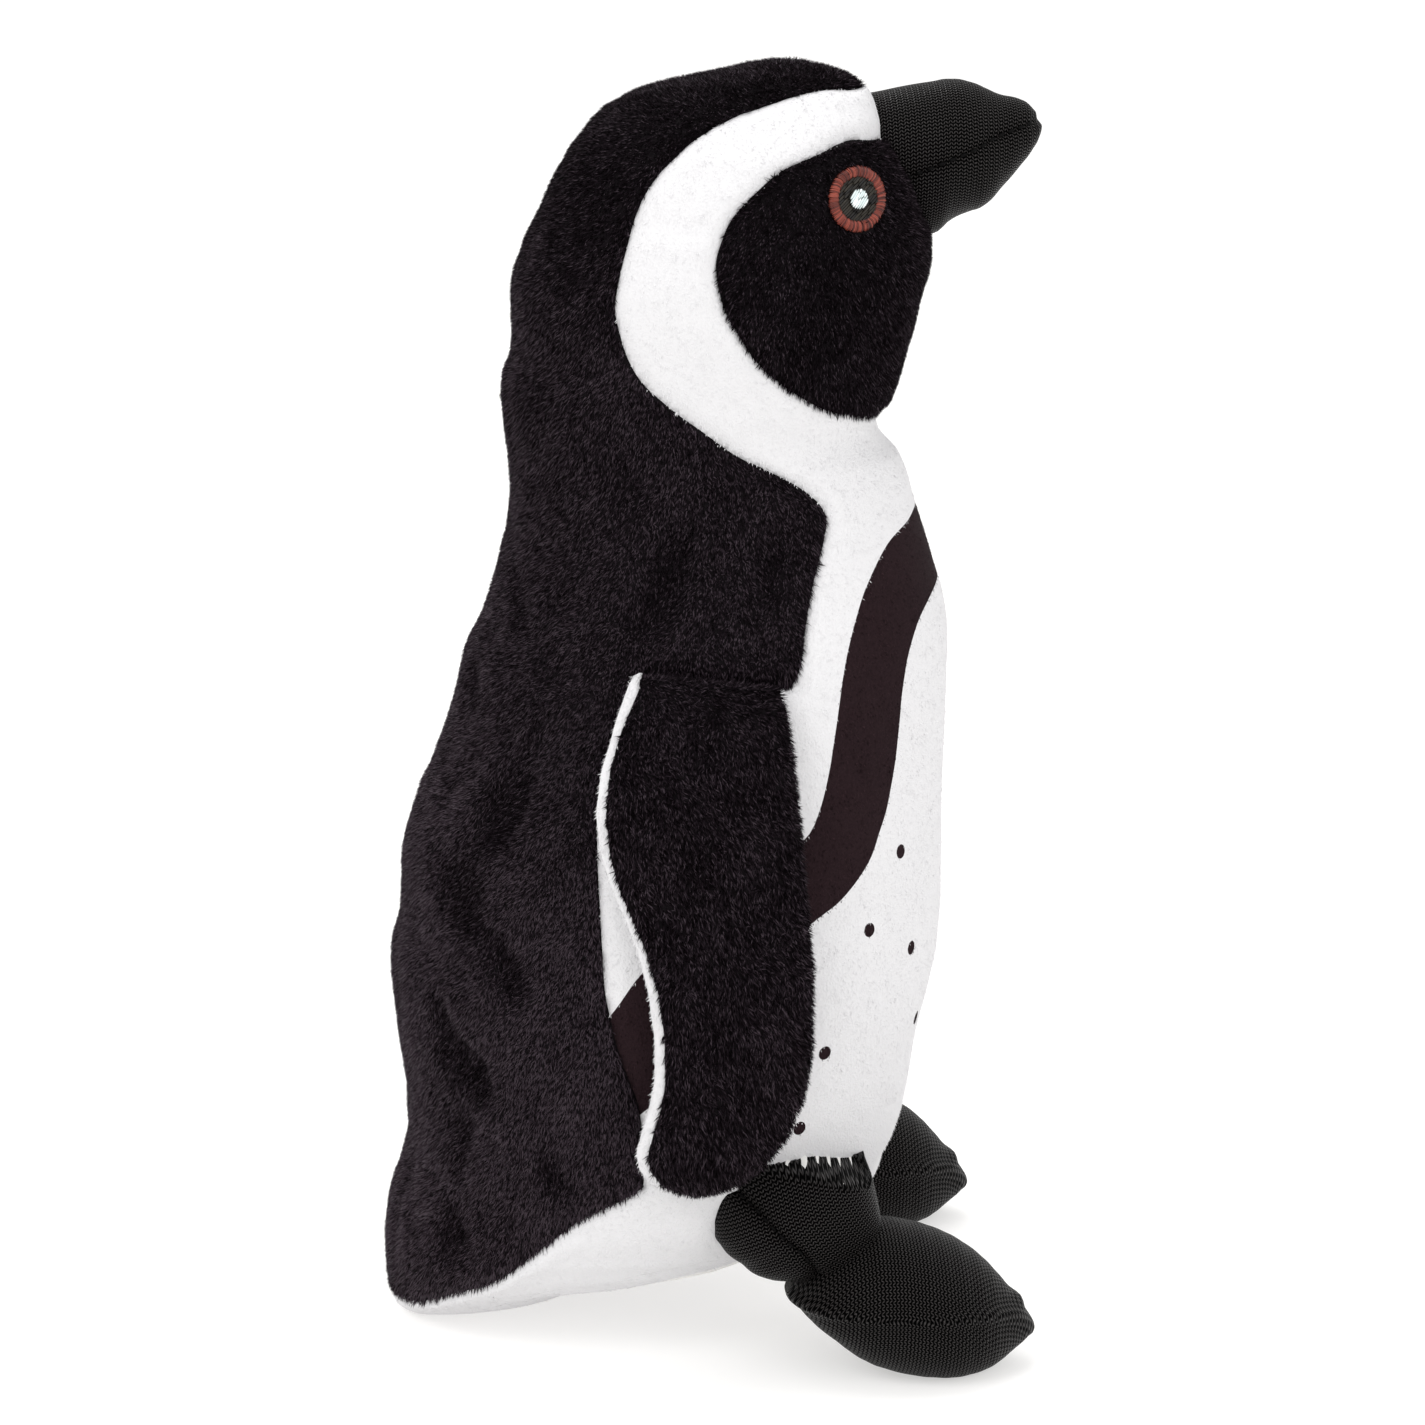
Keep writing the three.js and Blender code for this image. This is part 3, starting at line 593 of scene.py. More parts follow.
back_region = outline(back_seam, (FAR, back_seam[-1][1]), (FAR, FAR), (-FAR, FAR), (-FAR, hood_edge[0][1]))
mask_region = outline(mask_edge, (-FAR, mask_edge[-1][1]), (-FAR, mask_edge[0][1]))
under_region = outline(
    under_edge, (-FAR, under_edge[-1][1]), (-FAR, -FAR), (FAR, -FAR), (FAR, under_edge[0][1]))

# The printed band, as outer and inner edge from the chest to the flank, and the printed spots.
band_outer = spline([
    (-60, 166), (-42, 164.5), (-36.5, 162.3), (-31.5, 159.2), (-27.2, 153), (-24.5, 146.7), (-21.8, 137.8),
    (-19.6, 125), (-18.3, 118), (-16.2, 111), (-12.8, 106), (0, 98), (10, 90), (18.3, 82.5), (24.4, 73.9),
    (34, 62),
])
band_inner = spline([
    (33.2, 40), (18, 54.5), (12.2, 62), (4.2, 74), (-5.8, 84), (-15.1, 90.4), (-21, 94), (-26.4, 100),
    (-29.1, 106), (-30.7, 110), (-32.4, 117.4), (-33.3, 124.7), (-34, 131.6), (-35.8, 139.4),
    (-39.4, 146), (-45.8, 150), (-60.8, 151),
])
band = np.vstack([band_outer, band_inner])
SPOT_RADIUS = 1.4
SPOTS = [(-33.6, 100.6), (-45.3, 89), (-26.9, 86.9), (-36.5, 80.3), (-38.3, 63.8), (-17.7, 63.7), (-12.7, 49)]


def signed(region, line, yz):
    return np.where(inside(region, yz), 1, -1) * distance(line, yz)


def spot_field(points):
    """Above zero inside the printed spots."""
    field = np.full(len(points), -1e9)
    for y, z in SPOTS:
        for side in (-1, 1):
            middle = np.array([side * side_of_body(y, z), y, z])
            field = np.maximum(field, SPOT_RADIUS - np.linalg.norm(points - middle, axis=1))
    return field


def print_field(points):
    """Above zero where the white panel is printed."""
    yz = points[:, 1:]
    field = np.where(inside(band, yz), 1, -1) * np.minimum(distance(band_outer, yz), distance(band_inner, yz))
    return np.maximum(field, spot_field(points))


# ---------------------------------------------------------------- body
BODY_PITCH = 1.7
BODY_FACETS = 192
body_points, body_faces = loft(body_rings(BODY_PITCH, BODY_FACETS))
labels = np.zeros((len(body_faces), 0), bool)
for region, line in ((back_region, back_seam), (mask_region, mask_edge), (under_region, under_edge)):
    body_points, body_faces, labels = cut(
        body_points, body_faces, labels, signed(region, line, body_points[:, 1:]))
body_points, body_faces, labels = refined(
    body_points, body_faces, labels, 0.6, lambda middle: spot_field(middle) > -1.2)
body_points, body_faces, labels = cut(body_points, body_faces, labels, print_field(body_points), snap=0.02)
body_points, body_faces, labels = cut(body_points, body_faces, labels, body_points[:, 0])
in_back, in_mask, in_under, printed, on_left = labels.T.astype(bool)
in_mask &= ~in_back
in_under &= ~in_back & ~in_mask
in_front = ~in_back & ~in_mask & ~in_under


EYE_CLEAR = 6.4
back_field = signed(back_region, back_seam, body_points[:, 1:])
mask_field = signed(mask_region, mask_edge, body_points[:, 1:])
eye_middle = np.array([side_of_body(*EYE_SPOT[1:]), *EYE_SPOT[1:]])
eye_gap = np.linalg.norm(np.abs(body_points) * [1, 0, 1] + body_points * [0, 1, 0] - eye_middle, axis=1)
# what the pattern says at each point, before the panels are dented and sewn
BLACK, SEAM, PRINT, EYE, LEVEL, REAR, DENT = range(7)
loose = smoothstep(2, 12, back_field) * (1 - 0.75 * np.exp(-((body_points[:, 0] / 16) ** 2)))
loose *= 0.35 + 0.65 * smoothstep(175, 120, body_points[:, 2])
hollows = np.clip(1.9 * (ripple(body_points, 23, 5) - 0.3), 0, 1.7)
drawn_body = np.column_stack([
    np.maximum(back_field, mask_field), np.minimum(np.abs(back_field), np.abs(mask_field)),
    print_field(body_points), eye_gap - EYE_CLEAR, body_points[:, 2], body_points[:, 1], loose * hollows])


def dress_body(points):
    """How far the ground lies under the outline: the pile's depth, seam valleys and dents."""
    black = smoothstep(-1.2, 0.6, drawn_body[:, BLACK])
    inset = WHITE_PILE + (BLACK_PILE - WHITE_PILE) * black
    inset += 0.9 * np.exp(-((drawn_body[:, SEAM] / 1.5) ** 2))
    shoulder = distance(shoulder_seam, points[:, 1:])
    inset += 0.8 * np.exp(-((shoulder / 2.2) ** 2)) * (points[:, 1] < 18)
    inset += 0.6 * np.exp(-((points[:, 0] / 1.3) ** 2)) * np.where(points[:, 1] > 0, 1, 0.5)
    inset += 1.3 * drawn_body[:, DENT] + 0.4 * loose * ripple(points, 12, 6)
    inset += 0.2 * (1 - black) * ripple(points, 30, 8)
    return inset


outward = normals_of(body_points, body_faces)
# the bottom keeps its height, so that the tail still rests on the floor
lying = smoothstep(3, 0, body_points[:, 2])
body_points = body_points - outward * (dress_body(body_points) * (1 - 0.75 * lying))[:, None]
body_points[:, 2] = np.maximum(body_points[:, 2], 0.35)
# the bottom is round across: below the hem its two sides hang clear of the floor
BOTTOM_LIFT = 3.3
hang = smoothstep(4, 24, np.abs(body_points[:, 0])) * smoothstep(0, 8, -back_field)
body_points[:, 2] += BOTTOM_LIFT * hang * smoothstep(32, 14, body_points[:, 2])
outward = normals_of(body_points, body_faces)


def panel(name, chosen, body, nodes, materials, tint=None):
    """One sewn panel of the body as a closed sheet. Returns its open outer face for the pile."""
    points, faces, normals, drawn = part_of(body_points, body_faces[chosen], outward, drawn_body)
    sheet_points, sheet_faces = thick(points, faces, normals)
    sheet_index = np.zeros(len(sheet_faces), int)
    if tint is not None:
        sheet_index[:len(faces)] = tint[chosen]
    piece = make(name, sheet_points, sheet_faces, materials, sheet_index)
    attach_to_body(piece, body)
    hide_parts(*nodes)
    return points, faces, normals, drawn


def off_white(drawn):
    """Black tufts start just inside their own panel, so that few lie over the white."""
    return drawn[:, BLACK] > 0.25


def near_edge(drawn):
    """Tufts along a black and white border stand out a little."""
    return 1 + 0.55 * np.exp(-((drawn[:, SEAM] / 1.2) ** 2))


def painted_back_light(drawn):
    """Painted light and shade: the low back is painted lighter, and the crown and the hollows are painted
    darker.
    """
    low = 0.19 * smoothstep(170, 70, drawn[:, LEVEL]) - 0.26 * smoothstep(195, 228, drawn[:, LEVEL])
    return low - 0.2 * drawn[:, DENT]


def over_leg(drawn):
    """The strip of white pile that falls over the top of the leg."""
    level, rear = drawn[:, LEVEL], drawn[:, REAR]
    return (level > 41.2) & (level < 42.8) & (rear > -14) & (rear < 2)


for side, sign in SIDES:
    mine = on_left if sign > 0 else ~on_left
    for part, chosen, node, slot_name, grounds, tint in (
            ("back", in_back, "back_panel", "black_minky", [black_ground], None),
            ("mask", in_mask, "face_mask", "black_minky", [black_ground], None),
            ("front", in_front, "front_panel", "white_minky", [white_ground, print_ground], printed)):
        points, faces, normals, drawn = panel(
            f"{part}_{side}", chosen & mine, "torso", [f"{node}_{side}"], grounds, tint)
        seed = {"back": 1, "mask": 2, "front": 3}[part] + (10 if sign > 0 else 0)
        if part == "front":
            pile(f"{part}_{side}_pile", points, faces, normals, "torso",
                 [WHITE_SHADES, PRINT_SHADES], drawn, density=3.0, length=0.75, width=0.38, lean=78,
                 seed=seed, wobble=0.2, ridge=0.3, smooth=False,
                 group=lambda drawn: (drawn[:, PRINT] > 0).astype(int))
            pile(f"leg_fringe_{side}", points, faces, normals, "torso", [WHITE_SHADES],
                 drawn, density=10, length=1.4, width=0.3, lean=60, seed=seed + 5, wobble=0.4,
                 ridge=0.5, smooth=False, keep=over_leg)
        elif part == "mask":
            pile(f"{part}_{side}_pile", points, faces, normals, "torso",
                 [BLACK_SHADES], drawn, density=12, length=1.05, width=0.28, lean=43,
                 flow=(0.0, 0.45, -1), seed=seed, longer=near_edge,
                 keep=lambda drawn: (drawn[:, EYE] > 0) & off_white(drawn),
                 # painted shade: the mask's pile takes darker shades all over
                 lighter=lambda drawn: -0.24)
        else:
            # four stretches of the back, so that each piece stays light
            centre = points[faces].mean(1)
            bounds = (0, 62, 112, 165, HEIGHT + 10)
            for k, (low, high) in enumerate(zip(bounds[:-1], bounds[1:])):
                stretch = (centre[:, 2] >= low) & (centre[:, 2] < high)
                # painted light and shade on the back's pile: a lighter low back, a darker crown and darker
                # hollows
                pile(f"{part}_{side}_pile_{k + 1}", points, faces[stretch], normals, "torso",
                     [BLACK_SHADES], drawn, density=11, length=1.1, width=0.29, lean=44,
                     seed=seed + 20 * k, keep=off_white, longer=near_edge, lighter=painted_back_light)

points, faces, normals, drawn = panel(
    "underside", in_under, "torso", ["underside_panel"], [white_ground])
pile("underside_pile", points, faces, normals, "torso", [WHITE_SHADES], drawn,
     density=3, length=0.8, width=0.36, lean=77, flow=(0, -1, -0.2), seed=31, wobble=0.3,
     ridge=0.3, smooth=False, keep=lambda drawn: drawn[:, LEVEL] > 1.2)

# ---------------------------------------------------------------- beak
BEAK_RINGS = [  # y, middle height, half height, half width
    (-22, 229.4, 12.6, 7.5), (-30, 229.6, 13.3, 9.6), (-37, 229.9, 14.3, 11.4), (-43, 230.4, 14.7, 11.7),
    (-46, 231.8, 13.7, 11.4), (-50, 232.4, 12.5, 10.5), (-53, 232.4, 11.3, 9.3), (-56, 233.3, 9.1, 7.9),
    (-60, 235.1, 6.3, 6.0), (-62.4, 235.8, 3.8, 4.2), (-63.6, 236.2, 1.9, 2.4), (-64.1, 236.3, 0.4, 0.6),
]
beak_middle, beak_half, beak_wide = (
    through(sorted((-row[0], row[k]) for row in BEAK_RINGS)) for k in (1, 2, 3))
BEAK_BASE, BEAK_TIP = 24.0, 64.1
beak_seam = spline([(-20, 222), (-30, 225), (-35.4, 227.3), (-42.8, 230.3), (-49.7, 232.9), (-54, 235),
                    (-61.3, 237.3), (-64, 238), (-70, 238.6)])
BEAK_SQUARE = 1.95


def superellipse(count, squareness):
    """The two coordinates round a unit superellipse."""
    turn = 2 * math.pi * np.arange(count) / count
    c, s = np.cos(turn), np.sin(turn)
    return (np.sign(c) * np.abs(c) ** (2 / squareness), np.sign(s) * np.abs(s) ** (2 / squareness))


def ease_ends(count, bend=1.6):
    """Stations from 0 to 1, closer together at 1."""
    return 1 - (1 - np.linspace(0, 1, count)) ** bend


beak_stations = BEAK_BASE + (BEAK_TIP - BEAK_BASE) * ease_ends(56)
u, v = superellipse(96, BEAK_SQUARE)
beak_grid = np.stack([
    beak_wide(beak_stations)[:, None] * u, np.repeat(-beak_stations[:, None], 96, 1),
    beak_middle(beak_stations)[:, None] + beak_half(beak_stations)[:, None] * v], -1)


def round_rings(rings, upward):
    """How far round each ring its points lie, measured from the side that faces upward."""
    cols = rings.shape[1]
    reach = rings[len(rings) // 2] @ np.array(upward, float)
    order = (np.arange(cols) + reach.argmin()) % cols
    steps = np.linalg.norm(np.roll(rings, -1, axis=1) - rings, axis=2)[:, order]
    arc = np.empty(rings.shape[:2])
    arc[:, order] = np.cumsum(steps, axis=1) - steps
    return arc - arc[:, [reach.argmax()]]


def along_rings(rings):
    """How far along the run of the rings each of them lies."""
    steps = np.linalg.norm(np.diff(rings.mean(1), axis=0), axis=1)
    return np.repeat(np.concatenate([[0], np.cumsum(steps)])[:, None], rings.shape[1], 1)


def knit_halves(rings, upward, columns_round, region, line, groove, names, body, nodes, fold=None,
                blend=None, tuck=None):
    """A lofted skin of knit mesh in two halves that meet in a sewn groove. Its columns run round
    the rings or along them. Returns its outside points, for what is sewn on it."""
    points, faces = loft(rings)
    uv = np.stack([round_rings(rings, upward), along_rings(rings)], -1)
    if columns_round:
        uv = uv[..., ::-1]
    points = np.column_stack([points, np.vstack([uv.reshape(-1, 2), uv[0].mean(0), uv[-1].mean(0)])])
    lab = np.zeros((len(faces), 0), bool)
    points, faces, lab = cut(points, faces, lab, signed(region, line, points[:, 1:3]))
    points, uv = points[:, :3], points[:, 3:]
    normals = normals_of(points, faces)
    gap = distance(line, points[:, 1:])
    sink = groove * np.exp(-((gap / 1.1) ** 2))
    if tuck is not None:
        sink = sink + tuck(points)
    points = points - normals * sink[:, None]
    if fold is not None:
        points = fold(points)
    normals = normals_of(points, faces)
    for name, chosen, node in ((names[0], lab[:, 0], nodes[0]), (names[1], ~lab[:, 0], nodes[1])):
        part_points, part_faces, part_normals, part_uv = part_of(points, faces[chosen], normals, uv)
        sheet_points, sheet_faces = thick(part_points, part_faces, part_normals, 0.5)
        piece = make(name, sheet_points, sheet_faces, [knit_mesh], uv=np.vstack([part_uv, part_uv]))
        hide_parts(node)
        attach(piece, body, blend)
    return points


def beside(points, yz, middle, turn):
    """Side-view points put on the skin, to one side of its middle."""
    skin = points[(points[:, 0] - middle) * turn > 0]
    apart = ((skin[None, :, 1:] - yz[:, None]) ** 2).sum(-1)
    weight = np.exp(-(apart - apart.min(1, keepdims=True)) / 0.4)
    return np.column_stack([(weight * skin[:, 0]).sum(1) / weight.sum(1), yz])


upper_region = outline(beak_seam[::-1], (-20, FAR), (-70, FAR))
beak_skin = knit_halves(beak_grid, (0, 0, 1), True, upper_region, beak_seam, 0.6,
                        ("beak_upper_skin", "beak_lower_skin"), "torso", ("beak_upper", "beak_lower"))


def stitches(name, path, body, length=1.5, gap=0.8, radius=0.38, blend=None):
    """Separate short stitches along a sewn line; each end dips into the cloth."""
    path = np.asarray(path)
    step = np.linalg.norm(np.diff(path, axis=0), axis=1)
    run = np.concatenate([[0], np.cumsum(step)])
    starts = np.arange(gap, run[-1] - length, length + gap)
    t = np.linspace(0, 1, 7)
    at = starts[:, None] + t * length
    lines = np.stack([np.interp(at, run, path[:, k]) for k in range(3)], -1)
    points, faces = tubes(lines, radius * np.array([0.35, 0.85, 1, 1, 1, 0.85, 0.35]))
    piece = make(name, points, faces, [seam_thread])
    attach(piece, body, blend)


for side, sign in SIDES:
    shown = beak_seam[(beak_seam[:, 0] > -62.5) & (beak_seam[:, 0] < -33)]
    stitches(f"beak_stitches_{side}", beside(beak_skin, shown, 0, sign), "torso")

# ---------------------------------------------------------------- embroidered eyes
EYE_RADIUS = (EYE_HIGH[2] - EYE_LOW[2]) / 2
RING_WIDTH = 1.95
HIGHLIGHT_RADIUS = 1.75
EYE_DEPTH = 0.75  # the threads lie this far under the body's outline


def on_eye(ahead, up, lift):
    """Right-eye points from coordinates ahead and up on the face, and a lift off it."""
    y, z = EYE_SPOT[1:]
    slope_y = (side_of_body(y + 3, z) - side_of_body(y - 3, z)) / 6
    slope_z = (side_of_body(y, z + 3) - side_of_body(y, z - 3)) / 6
    normal = unit(np.array([-1, -slope_y, -slope_z]))
    y, z = y - ahead, z + up
    return np.stack([-side_of_body(y, z), y, z], -1) + normal * (lift - EYE_DEPTH)[..., None]


def threads(name, ahead, up, lift, radius, materials, node, seed):
    """Both eyes' copies of a set of threads; ahead, up and lift are (threads, steps)."""
    rng = np.random.default_rng(SEED + seed)
    shade = rng.integers(0, len(materials), len(ahead))
    for side, sign in (("right", 1), ("left", -1)):
        lines = on_eye(ahead, up, lift) * [sign, 1, 1]
        points, faces = tubes(lines, radius)
        if sign < 0:
            faces = faces[:, ::-1]
        per_thread = len(faces) // len(lines)
        piece = make(f"{name}_{side}", points, faces, materials, np.repeat(shade, per_thread))
        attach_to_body(piece, "torso")
        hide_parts(f"{node}_{side}")


def ring_threads():
    rng = np.random.default_rng(SEED + 2)
    count = 112
    turn = 2 * math.pi * (np.arange(count) + rng.uniform(-0.2, 0.2, count)) / count
    t = np.linspace(0, 1, 8)
    inner = EYE_RADIUS - RING_WIDTH + rng.uniform(-0.12, 0.12, count)
    outer = EYE_RADIUS + rng.uniform(-0.15, 0.12, count)
    radius = inner[:, None] + (outer - inner)[:, None] * t
    turn = turn[:, None] + 0.03 * t
    lift = 0.15 + 0.62 * np.sin(math.pi * np.clip(t, 0.03, 0.97)) ** 0.7
    threads("eye_ring", radius * np.cos(turn), radius * np.sin(turn), np.tile(lift, (count, 1)),
            np.array([0.11, 0.16, 0.18, 0.18, 0.18, 0.18, 0.16, 0.11]), RUST_THREADS,
            "eye_ring", 5)


def disc_threads(name, radius, pitch, lean, lift, materials, node, seed):
    """A disc of parallel threads, each made of stitches that meet at staggered ends."""
    rng = np.random.default_rng(SEED + seed)
    ahead, up = [], []
    t = np.linspace(0, 1, 7)
    for offset in np.arange(-radius + pitch / 2, radius, pitch):
        reach = math.sqrt(max(radius**2 - offset**2, 0.01)) + rng.uniform(-0.1, 0.1)
        start = -reach
        while start < reach - 0.2:
            end = min(start + rng.uniform(1.6, 3.0), reach)
            along = start + (end - start) * t
            across = offset + rng.uniform(-0.05, 0.05)
            ahead.append(along * math.cos(lean) - across * math.sin(lean))
            up.append(along * math.sin(lean) + across * math.cos(lean))
            start = end
    ahead, up = np.array(ahead), np.array(up)
    bow = lift + 0.12 * np.sin(math.pi * t)
    threads(name, ahead, up, np.tile(bow, (len(ahead), 1)),
            pitch * 0.56 * np.array([0.5, 0.9, 1, 1, 1, 0.9, 0.5]), materials, node, seed + 1)


ring_threads()
disc_threads("eye_pupil", EYE_RADIUS - RING_WIDTH + 0.25, 0.46, math.radians(40), 0.22, DARK_THREADS,
             "eye_pupil", 11)
disc_threads("eye_highlight", HIGHLIGHT_RADIUS, 0.42, math.radians(52), 0.62, WHITE_THREADS,
             "eye_highlight", 21)

# ---------------------------------------------------------------- flippers
FLIPPER_TOP, FLIPPER_TIP = 137.0, 38.6
flipper_rear = through([
    (0, 18.0), (3, 19.6), (11, 23.0), (20, 24.9), (27, 25.0), (36, 23.4), (45, 20.0), (54, 17.0), (62, 15.5),
    (71, 14.8), (79, 15.3), (87, 17.2), (92, 17.6), (96, 16.0), (98.6, 13.2), (100, 9.0),
])
flipper_front = through([
    (0, -8.4), (3, -9.4), (12, -10.5), (20, -11.2), (33, -12.2), (48, -13.3), (64, -13.7), (74, -12.9),
    (83, -10.6), (91, -6.6), (96, -1.4), (98.6, 3.2), (100, 7.4),
])
flipper_thick = through([
    (0, 4.2), (6, 5.6), (20, 6.4), (50, 6.6), (80, 6.2), (92, 5.4), (97, 4.2), (99.2, 2.6), (100, 1.2)])
FLIPPER_FLARE = 2.5


# The white inner panel shows past the rear edge of the black one by this much.
flipper_strip = through([
    (0, 1.3), (4, 1.4), (12, 1.5), (25, 1.9), (40, 1.6), (55, 1.9), (70, 2.0), (88, 2.3), (95, 1.9),
    (100, 0.6)])


def flipper_down(z):
    return (FLIPPER_TOP - z) / (FLIPPER_TOP - FLIPPER_TIP) * 100


def flipper_middle(down):
    """The middle of the flipper's thickness, from the side of the body outwards."""
    z = FLIPPER_TOP + (FLIPPER_TIP - FLIPPER_TOP) * down / 100
    beside = width_line(z / HEIGHT * 100) * WIDTH / 200
    flare = FLIPPER_FLARE * np.maximum((down - 50) / 50, 0)
    return -(beside + 0.4 + flipper_thick(down) / 2 + flare) + 1.8 * smoothstep(9, 0, down)


def pad_out(points):
    """Shallow hollows and swells of the thin pad, the same on both of its faces."""
    points = points.copy()
    swell = 0.35 * ripple(points * [0, 1, 1], 22, 61)
    points[..., 0] += swell * smoothstep(0, 12, FLIPPER_TOP - points[..., 2])
    return points


def flipper_rings(count, facets, inset=0.0):
    down = 100 * ease_ends(count, 1.5)
    z = FLIPPER_TOP + (FLIPPER_TIP - FLIPPER_TOP) * down / 100
    rear, front = flipper_rear(down) + flipper_strip(down) - inset, flipper_front(down) + inset
    half = np.maximum(flipper_thick(down) / 2 - inset, 0.4)
    u, v = superellipse(facets, 2.35)
    y = ((rear + front) / 2)[:, None] + ((rear - front) / 2)[:, None] * u
    slope = 0.11 * (y - 4) * smoothstep(12, 0, down)[:, None]
    rings = np.stack([flipper_middle(down)[:, None] - half[:, None] * v, y, z[:, None] + slope], -1)
    return pad_out(rings.reshape(-1, 3)).reshape(rings.shape)


def flipper_field(points):
    """Above zero on the black outer panel, which turns in round the front edge and the top."""
    down = flipper_down(points[:, 2])
    facing = flipper_middle(down) - points[:, 0]
    front_gap = points[:, 1] - flipper_front(down)
    turned_in = 2.2 * smoothstep(5, 0, front_gap) + 7 * smoothstep(4, 1, down)
    return np.minimum(facing + turned_in, flipper_rear(down) - points[:, 1])


flipper_points, flipper_faces = loft(flipper_rings(74, 72)[::-1])
flipper_label = np.zeros((len(flipper_faces), 0), bool)
flipper_points, flipper_faces, flipper_label = cut(
    flipper_points, flipper_faces, flipper_label, flipper_field(flipper_points), snap=0.02)
flipper_normals = normals_of(flipper_points, flipper_faces)
edge = np.abs(flipper_field(flipper_points))
flipper_points = flipper_points - flipper_normals * (0.35 + 0.35 * np.exp(-((edge / 0.9) ** 2)))[:, None]
flipper_normals = normals_of(flipper_points, flipper_faces)

def shoulder_of(side, sign):
    """The torso, the flipper and the two ends of a stretch of its sewn line, given as a blend for attach."""
    return ("torso", f"{side}_flipper", (sign * 0.045, 0.004, 0.1385), (sign * 0.050, 0.004, 0.131))


for side, sign in SIDES:
    joint_blend = shoulder_of(side, sign)
    for part, chosen, node, grounds, slot_name in (
            ("outer", flipper_label[:, 0], "flipper_outer", [black_ground], "black_minky"),
            ("inner", ~flipper_label[:, 0], "flipper_inner", [white_ground], "white_minky")):
        points, faces, normals = part_of(flipper_points, flipper_faces[chosen], flipper_normals)
        if sign > 0:
            points, normals, faces = points * [-1, 1, 1], normals * [-1, 1, 1], faces[:, ::-1]
        sheet_points, sheet_faces = thick(points, faces, normals, 0.5)
        piece = make(f"flipper_{part}_{side}_skin", sheet_points, sheet_faces, grounds)
        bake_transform(piece)
        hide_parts(f"{node}_{side}")
        if part == "outer":
            pile(f"flipper_{part}_{side}_pile", points, faces, normals, None,
                 [BLACK_SHADES], density=11, length=1.35, width=0.30, lean=48, flow=(0, -0.2, -1),
                 # painted shade: the flipper's outer pile takes darker shades all over
                 seed=41 + (sign > 0), blend=joint_blend, wobble=0.45, lighter=lambda drawn: -0.12)
        else:
            pile(f"flipper_{part}_{side}_pile", points, faces, normals, None,
                 [WHITE_SHADES], density=3.4, length=0.95, width=0.36, lean=70, flow=(0, 0.3, -1),
                 seed=45 + (sign > 0), blend=joint_blend, wobble=0.3, ridge=0.4, smooth=False)

# ---------------------------------------------------------------- legs and feet
ANKLE = np.array([FOOT_X, -19.9, 23.8])
LEAN = math.radians(31.6)
SHIN = np.array([0, math.sin(LEAN), math.cos(LEAN)])
CREASE = np.array([0, math.cos(LEAN), -math.sin(LEAN)])
ANKLE_STRETCH = 4.5
LEG_LENGTH, LEG_GIRTH, LEG_WIDTH = 27.0, 32.0, 28.0
leg_rows = [  # percent up, rearward, half girth, half width
    (-34, -2, 20, 24), (-20, 0, 27, 31), (-8, 0, 30.5, 34), (0, -0.5, 31.5, 35), (14, 4.3, 41, 43),
    (32, 5.5, 47.6, 48), (50, 5.2, 52.3, 47), (64, 1.0, 54, 41), (76, -1.8, 51.3, 34), (85, -1, 45.5, 25),
    (96, 1, 34, 12),
]
leg_rear, leg_girth, leg_wide = (through([(row[0], row[k]) for row in leg_rows]) for k in (1, 2, 3))


def leg_rings(count, facets):
    up = np.linspace(leg_rows[0][0], leg_rows[-1][0], count)
    middle = ANKLE + np.outer(up * LEG_LENGTH / 100, SHIN) + np.outer(leg_rear(up) * LEG_GIRTH / 100, CREASE)
    middle[:, 0] += 2 * np.clip(up / 50, 0, 1)
    u, v = superellipse(facets, 2.1)
    across = (leg_wide(up) * LEG_WIDTH / 100)[:, None] * u
    along = (leg_girth(up) * LEG_GIRTH / 100)[:, None] * v
    rings = middle[:, None] + across[..., None] * np.array([1.0, 0, 0]) + along[..., None] * CREASE
    return rings


def into_body(points, under=0.0):
    """The leg's top is sewn into the body: it slopes in and ends under the body's side, deeper
    and a little lower at its front, where the body curves away."""
    points = points.copy()
    ahead = smoothstep(-14, -26, points[:, 1])
    tucked = smoothstep(39.6, 44, points[:, 2] + 2.2 * ahead)
    side = side_of_body(points[:, 1], points[:, 2])
    reach = side + 26 * (1 - tucked) ** 2 - (4 + 14 * ahead) * tucked - under
    reach += 60 * smoothstep(34, 26, points[:, 2])  # no pull as low as the ankle
    points[:, 0] = np.sign(points[:, 0]) * np.minimum(np.abs(points[:, 0]), reach)
    return points


leg_seam = spline([
    (2.0, 45.0), (1, 39), (-3.5, 35), (-8, 30.5), (-12, 27), (-14.3, 23.5), (-16, 19), (-18, 13)])
rear_region = outline(leg_seam, (60, 13), (60, 45))


def ankle_of(side, sign):
    """The torso, the foot and the two ends of a stretch on both sides of the ankle, given as a blend for
    attach.
    """
    ankle = ANKLE * [-sign, 1, 1]
    start, end = ankle + ANKLE_STRETCH * SHIN, ankle - ANKLE_STRETCH * SHIN
    return ("torso", f"{side}_foot", tuple(start * MM), tuple(end * MM))


FOOT_LENGTH, FOOT_WIDTH, FOOT_HEIGHT = 46.0, 34.0, 27.0
HEEL = -11.3
SOLE_DEPTH = 1.9
foot_rows = [  # percent along, middle, half height, half width
    (0, 69.5, 3, 7), (1.2, 69.5, 7.5, 13), (4, 70, 15, 21), (7.6, 70.2, 21.9, 28.5), (12, 70, 29, 34),
    (17.8, 69.2, 36, 39), (24, 67.5, 43, 43), (29.8, 65.7, 47.7, 45.5), (37.4, 63.4, 51.2, 47.8),
    (50.7, 58.2, 52.3, 49.8), (58, 55.2, 51.3, 49.5), (65.2, 52, 49.3, 47.5), (73, 48.8, 44.8, 42.5),
    (80.6, 45.4, 38, 35.5), (86, 42.6, 31, 28.5), (90.7, 40.4, 23.4, 21.5), (93.5, 38.4, 18, 17),
    (95.7, 36.4, 13.6, 13), (97.6, 34.2, 9, 9.5), (99, 33, 5.2, 6), (100, 32.5, 1.8, 3),
]
